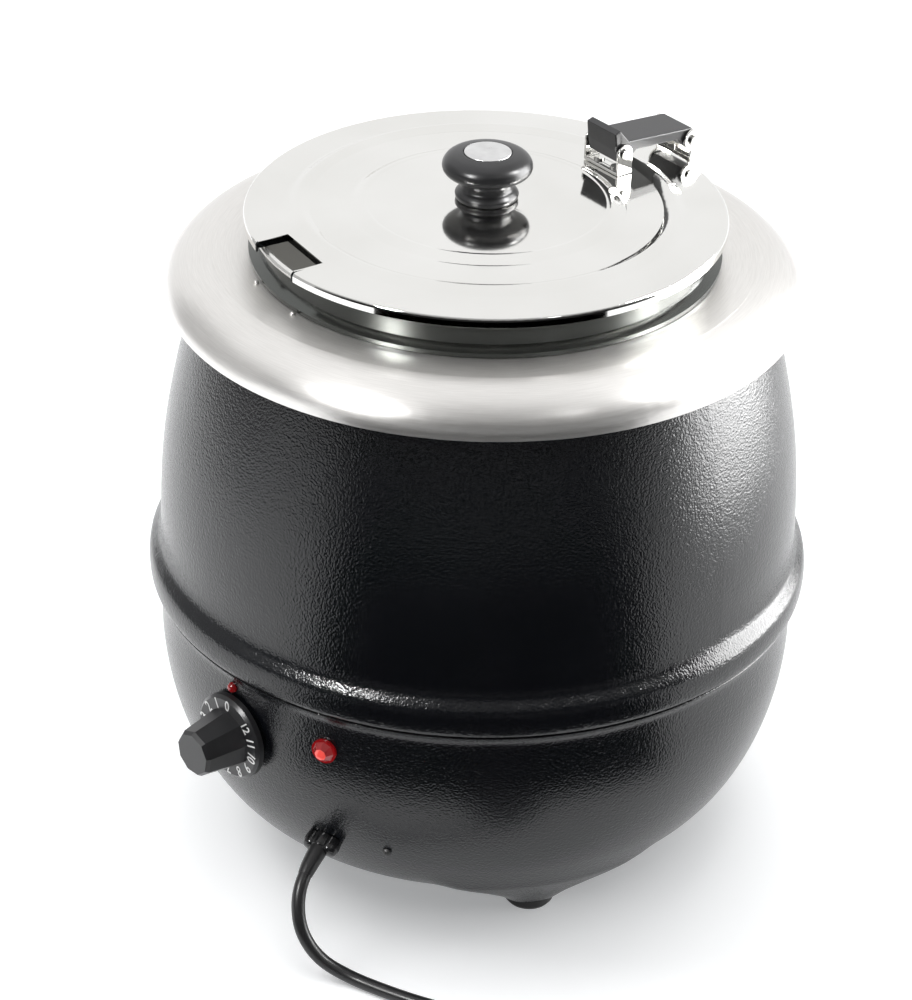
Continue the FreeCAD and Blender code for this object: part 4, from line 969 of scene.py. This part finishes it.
def studio_lamp(name, azimuth, elevation, distance, size, radiance, in_reflections):
    """Square soft box aimed at the kettle; it lights reflections alone, or all but reflections."""
    lamp = bpy.data.lights.new(name, "AREA")
    lamp.shape = "SQUARE"
    lamp.size = size
    lamp.energy = radiance * math.pi * size * size
    light = bpy.data.objects.new(name, lamp)
    rise = math.radians(elevation)
    direction = heading(azimuth) * math.cos(rise) + Vector((0, 0, math.sin(rise)))
    light.location = direction * distance + Vector((0, 0, LAMP_AIM_Z))
    light.rotation_euler = direction.to_track_quat("Z", "Y").to_euler()
    light.visible_glossy = in_reflections
    light.visible_diffuse = not in_reflections
    bpy.context.scene.collection.objects.link(light)


def make_lights():
    """All the lamps of the list."""
    for settings in LAMPS:
        studio_lamp(*settings)


def light_inside_pot():
    """Keeps the pot's inside from going black where it shows through the ladle notch."""
    lamp = bpy.data.lights.new("pot_glow", "POINT")
    lamp.energy = POT_LIGHT_WATTS
    lamp.shadow_soft_size = POT_LIGHT_RADIUS
    light = bpy.data.objects.new("pot_glow", lamp)
    light.location = (0, 0, POT_LIGHT_Z)
    light.visible_glossy = False
    bpy.context.scene.collection.objects.link(light)


def card(name, corners, brightness):
    """Card that shows only in reflections; brightness 0 is a black card."""
    mesh = bpy.data.meshes.new(name)
    mesh.from_pydata(corners, [], [tuple(range(len(corners)))])
    material = bpy.data.materials.new(name)
    material.use_nodes = True
    tree = material.node_tree
    tree.nodes.clear()
    glow = tree.nodes.new("ShaderNodeEmission")
    glow.inputs["Strength"].default_value = brightness
    out = tree.nodes.new("ShaderNodeOutputMaterial")
    tree.links.new(glow.outputs["Emission"], out.inputs["Surface"])
    mesh.materials.append(material)
    piece = bpy.data.objects.new(name, mesh)
    piece.visible_camera = False
    piece.visible_diffuse = False
    piece.visible_shadow = False
    piece.visible_transmission = False
    bpy.context.scene.collection.objects.link(piece)


def make_cards():
    """A black card on the floor in front and upright ones, grey at the left and white at the right."""
    low, high, near, far = DARK_SECTOR
    steps = DARK_CARD_STEPS
    inner = [heading(low + (high - low) * step / steps) * near for step in range(steps + 1)]
    outer = [heading(low + (high - low) * step / steps) * far for step in range(steps + 1)]
    corners = [tuple(point + Vector((0, 0, DARK_CARD_Z))) for point in inner + outer[::-1]]
    card("dark_card", corners, 0.0)
    for name, azimuth, s, half_width, z_low, z_high, brightness in UPRIGHT_CARDS:
        middle = heading(azimuth) * s
        side = sideways(azimuth) * half_width
        left = (middle - side).xy
        right = (middle + side).xy
        corners = [(*left, z_low), (*right, z_low), (*right, z_high), (*left, z_high)]
        card(name, corners, brightness)


def make_camera():
    """Long lens from the front right, looking down at the kettle."""
    data = bpy.data.cameras.new("photo_view")
    data.lens = CAMERA_LENS
    data.sensor_width = CAMERA_SENSOR
    camera = bpy.data.objects.new("photo_view", data)
    turn = Euler((math.radians(90 - CAMERA_TILT), 0, math.radians(CAMERA_TURN))).to_matrix()
    turn = turn @ Matrix.Rotation(math.radians(CAMERA_ROLL), 3, "Z")
    camera.location = CAMERA_PLACE
    camera.rotation_euler = turn.to_euler()
    bpy.context.scene.collection.objects.link(camera)
    bpy.context.scene.camera = camera
    bpy.context.scene.view_settings.view_transform = "Standard"


finish_all_nodes()
lead_line = make_lead()
make_lower_casing()
make_gland(lead_line)
make_knob()
make_dial_numbers()
make_lamp_light()
for node_name, edge_width in EDGE_ROUNDINGS:
    round_edges(node_name, edge_width)
make_floor()
make_world()
make_lights()
light_inside_pot()
make_cards()
make_camera()
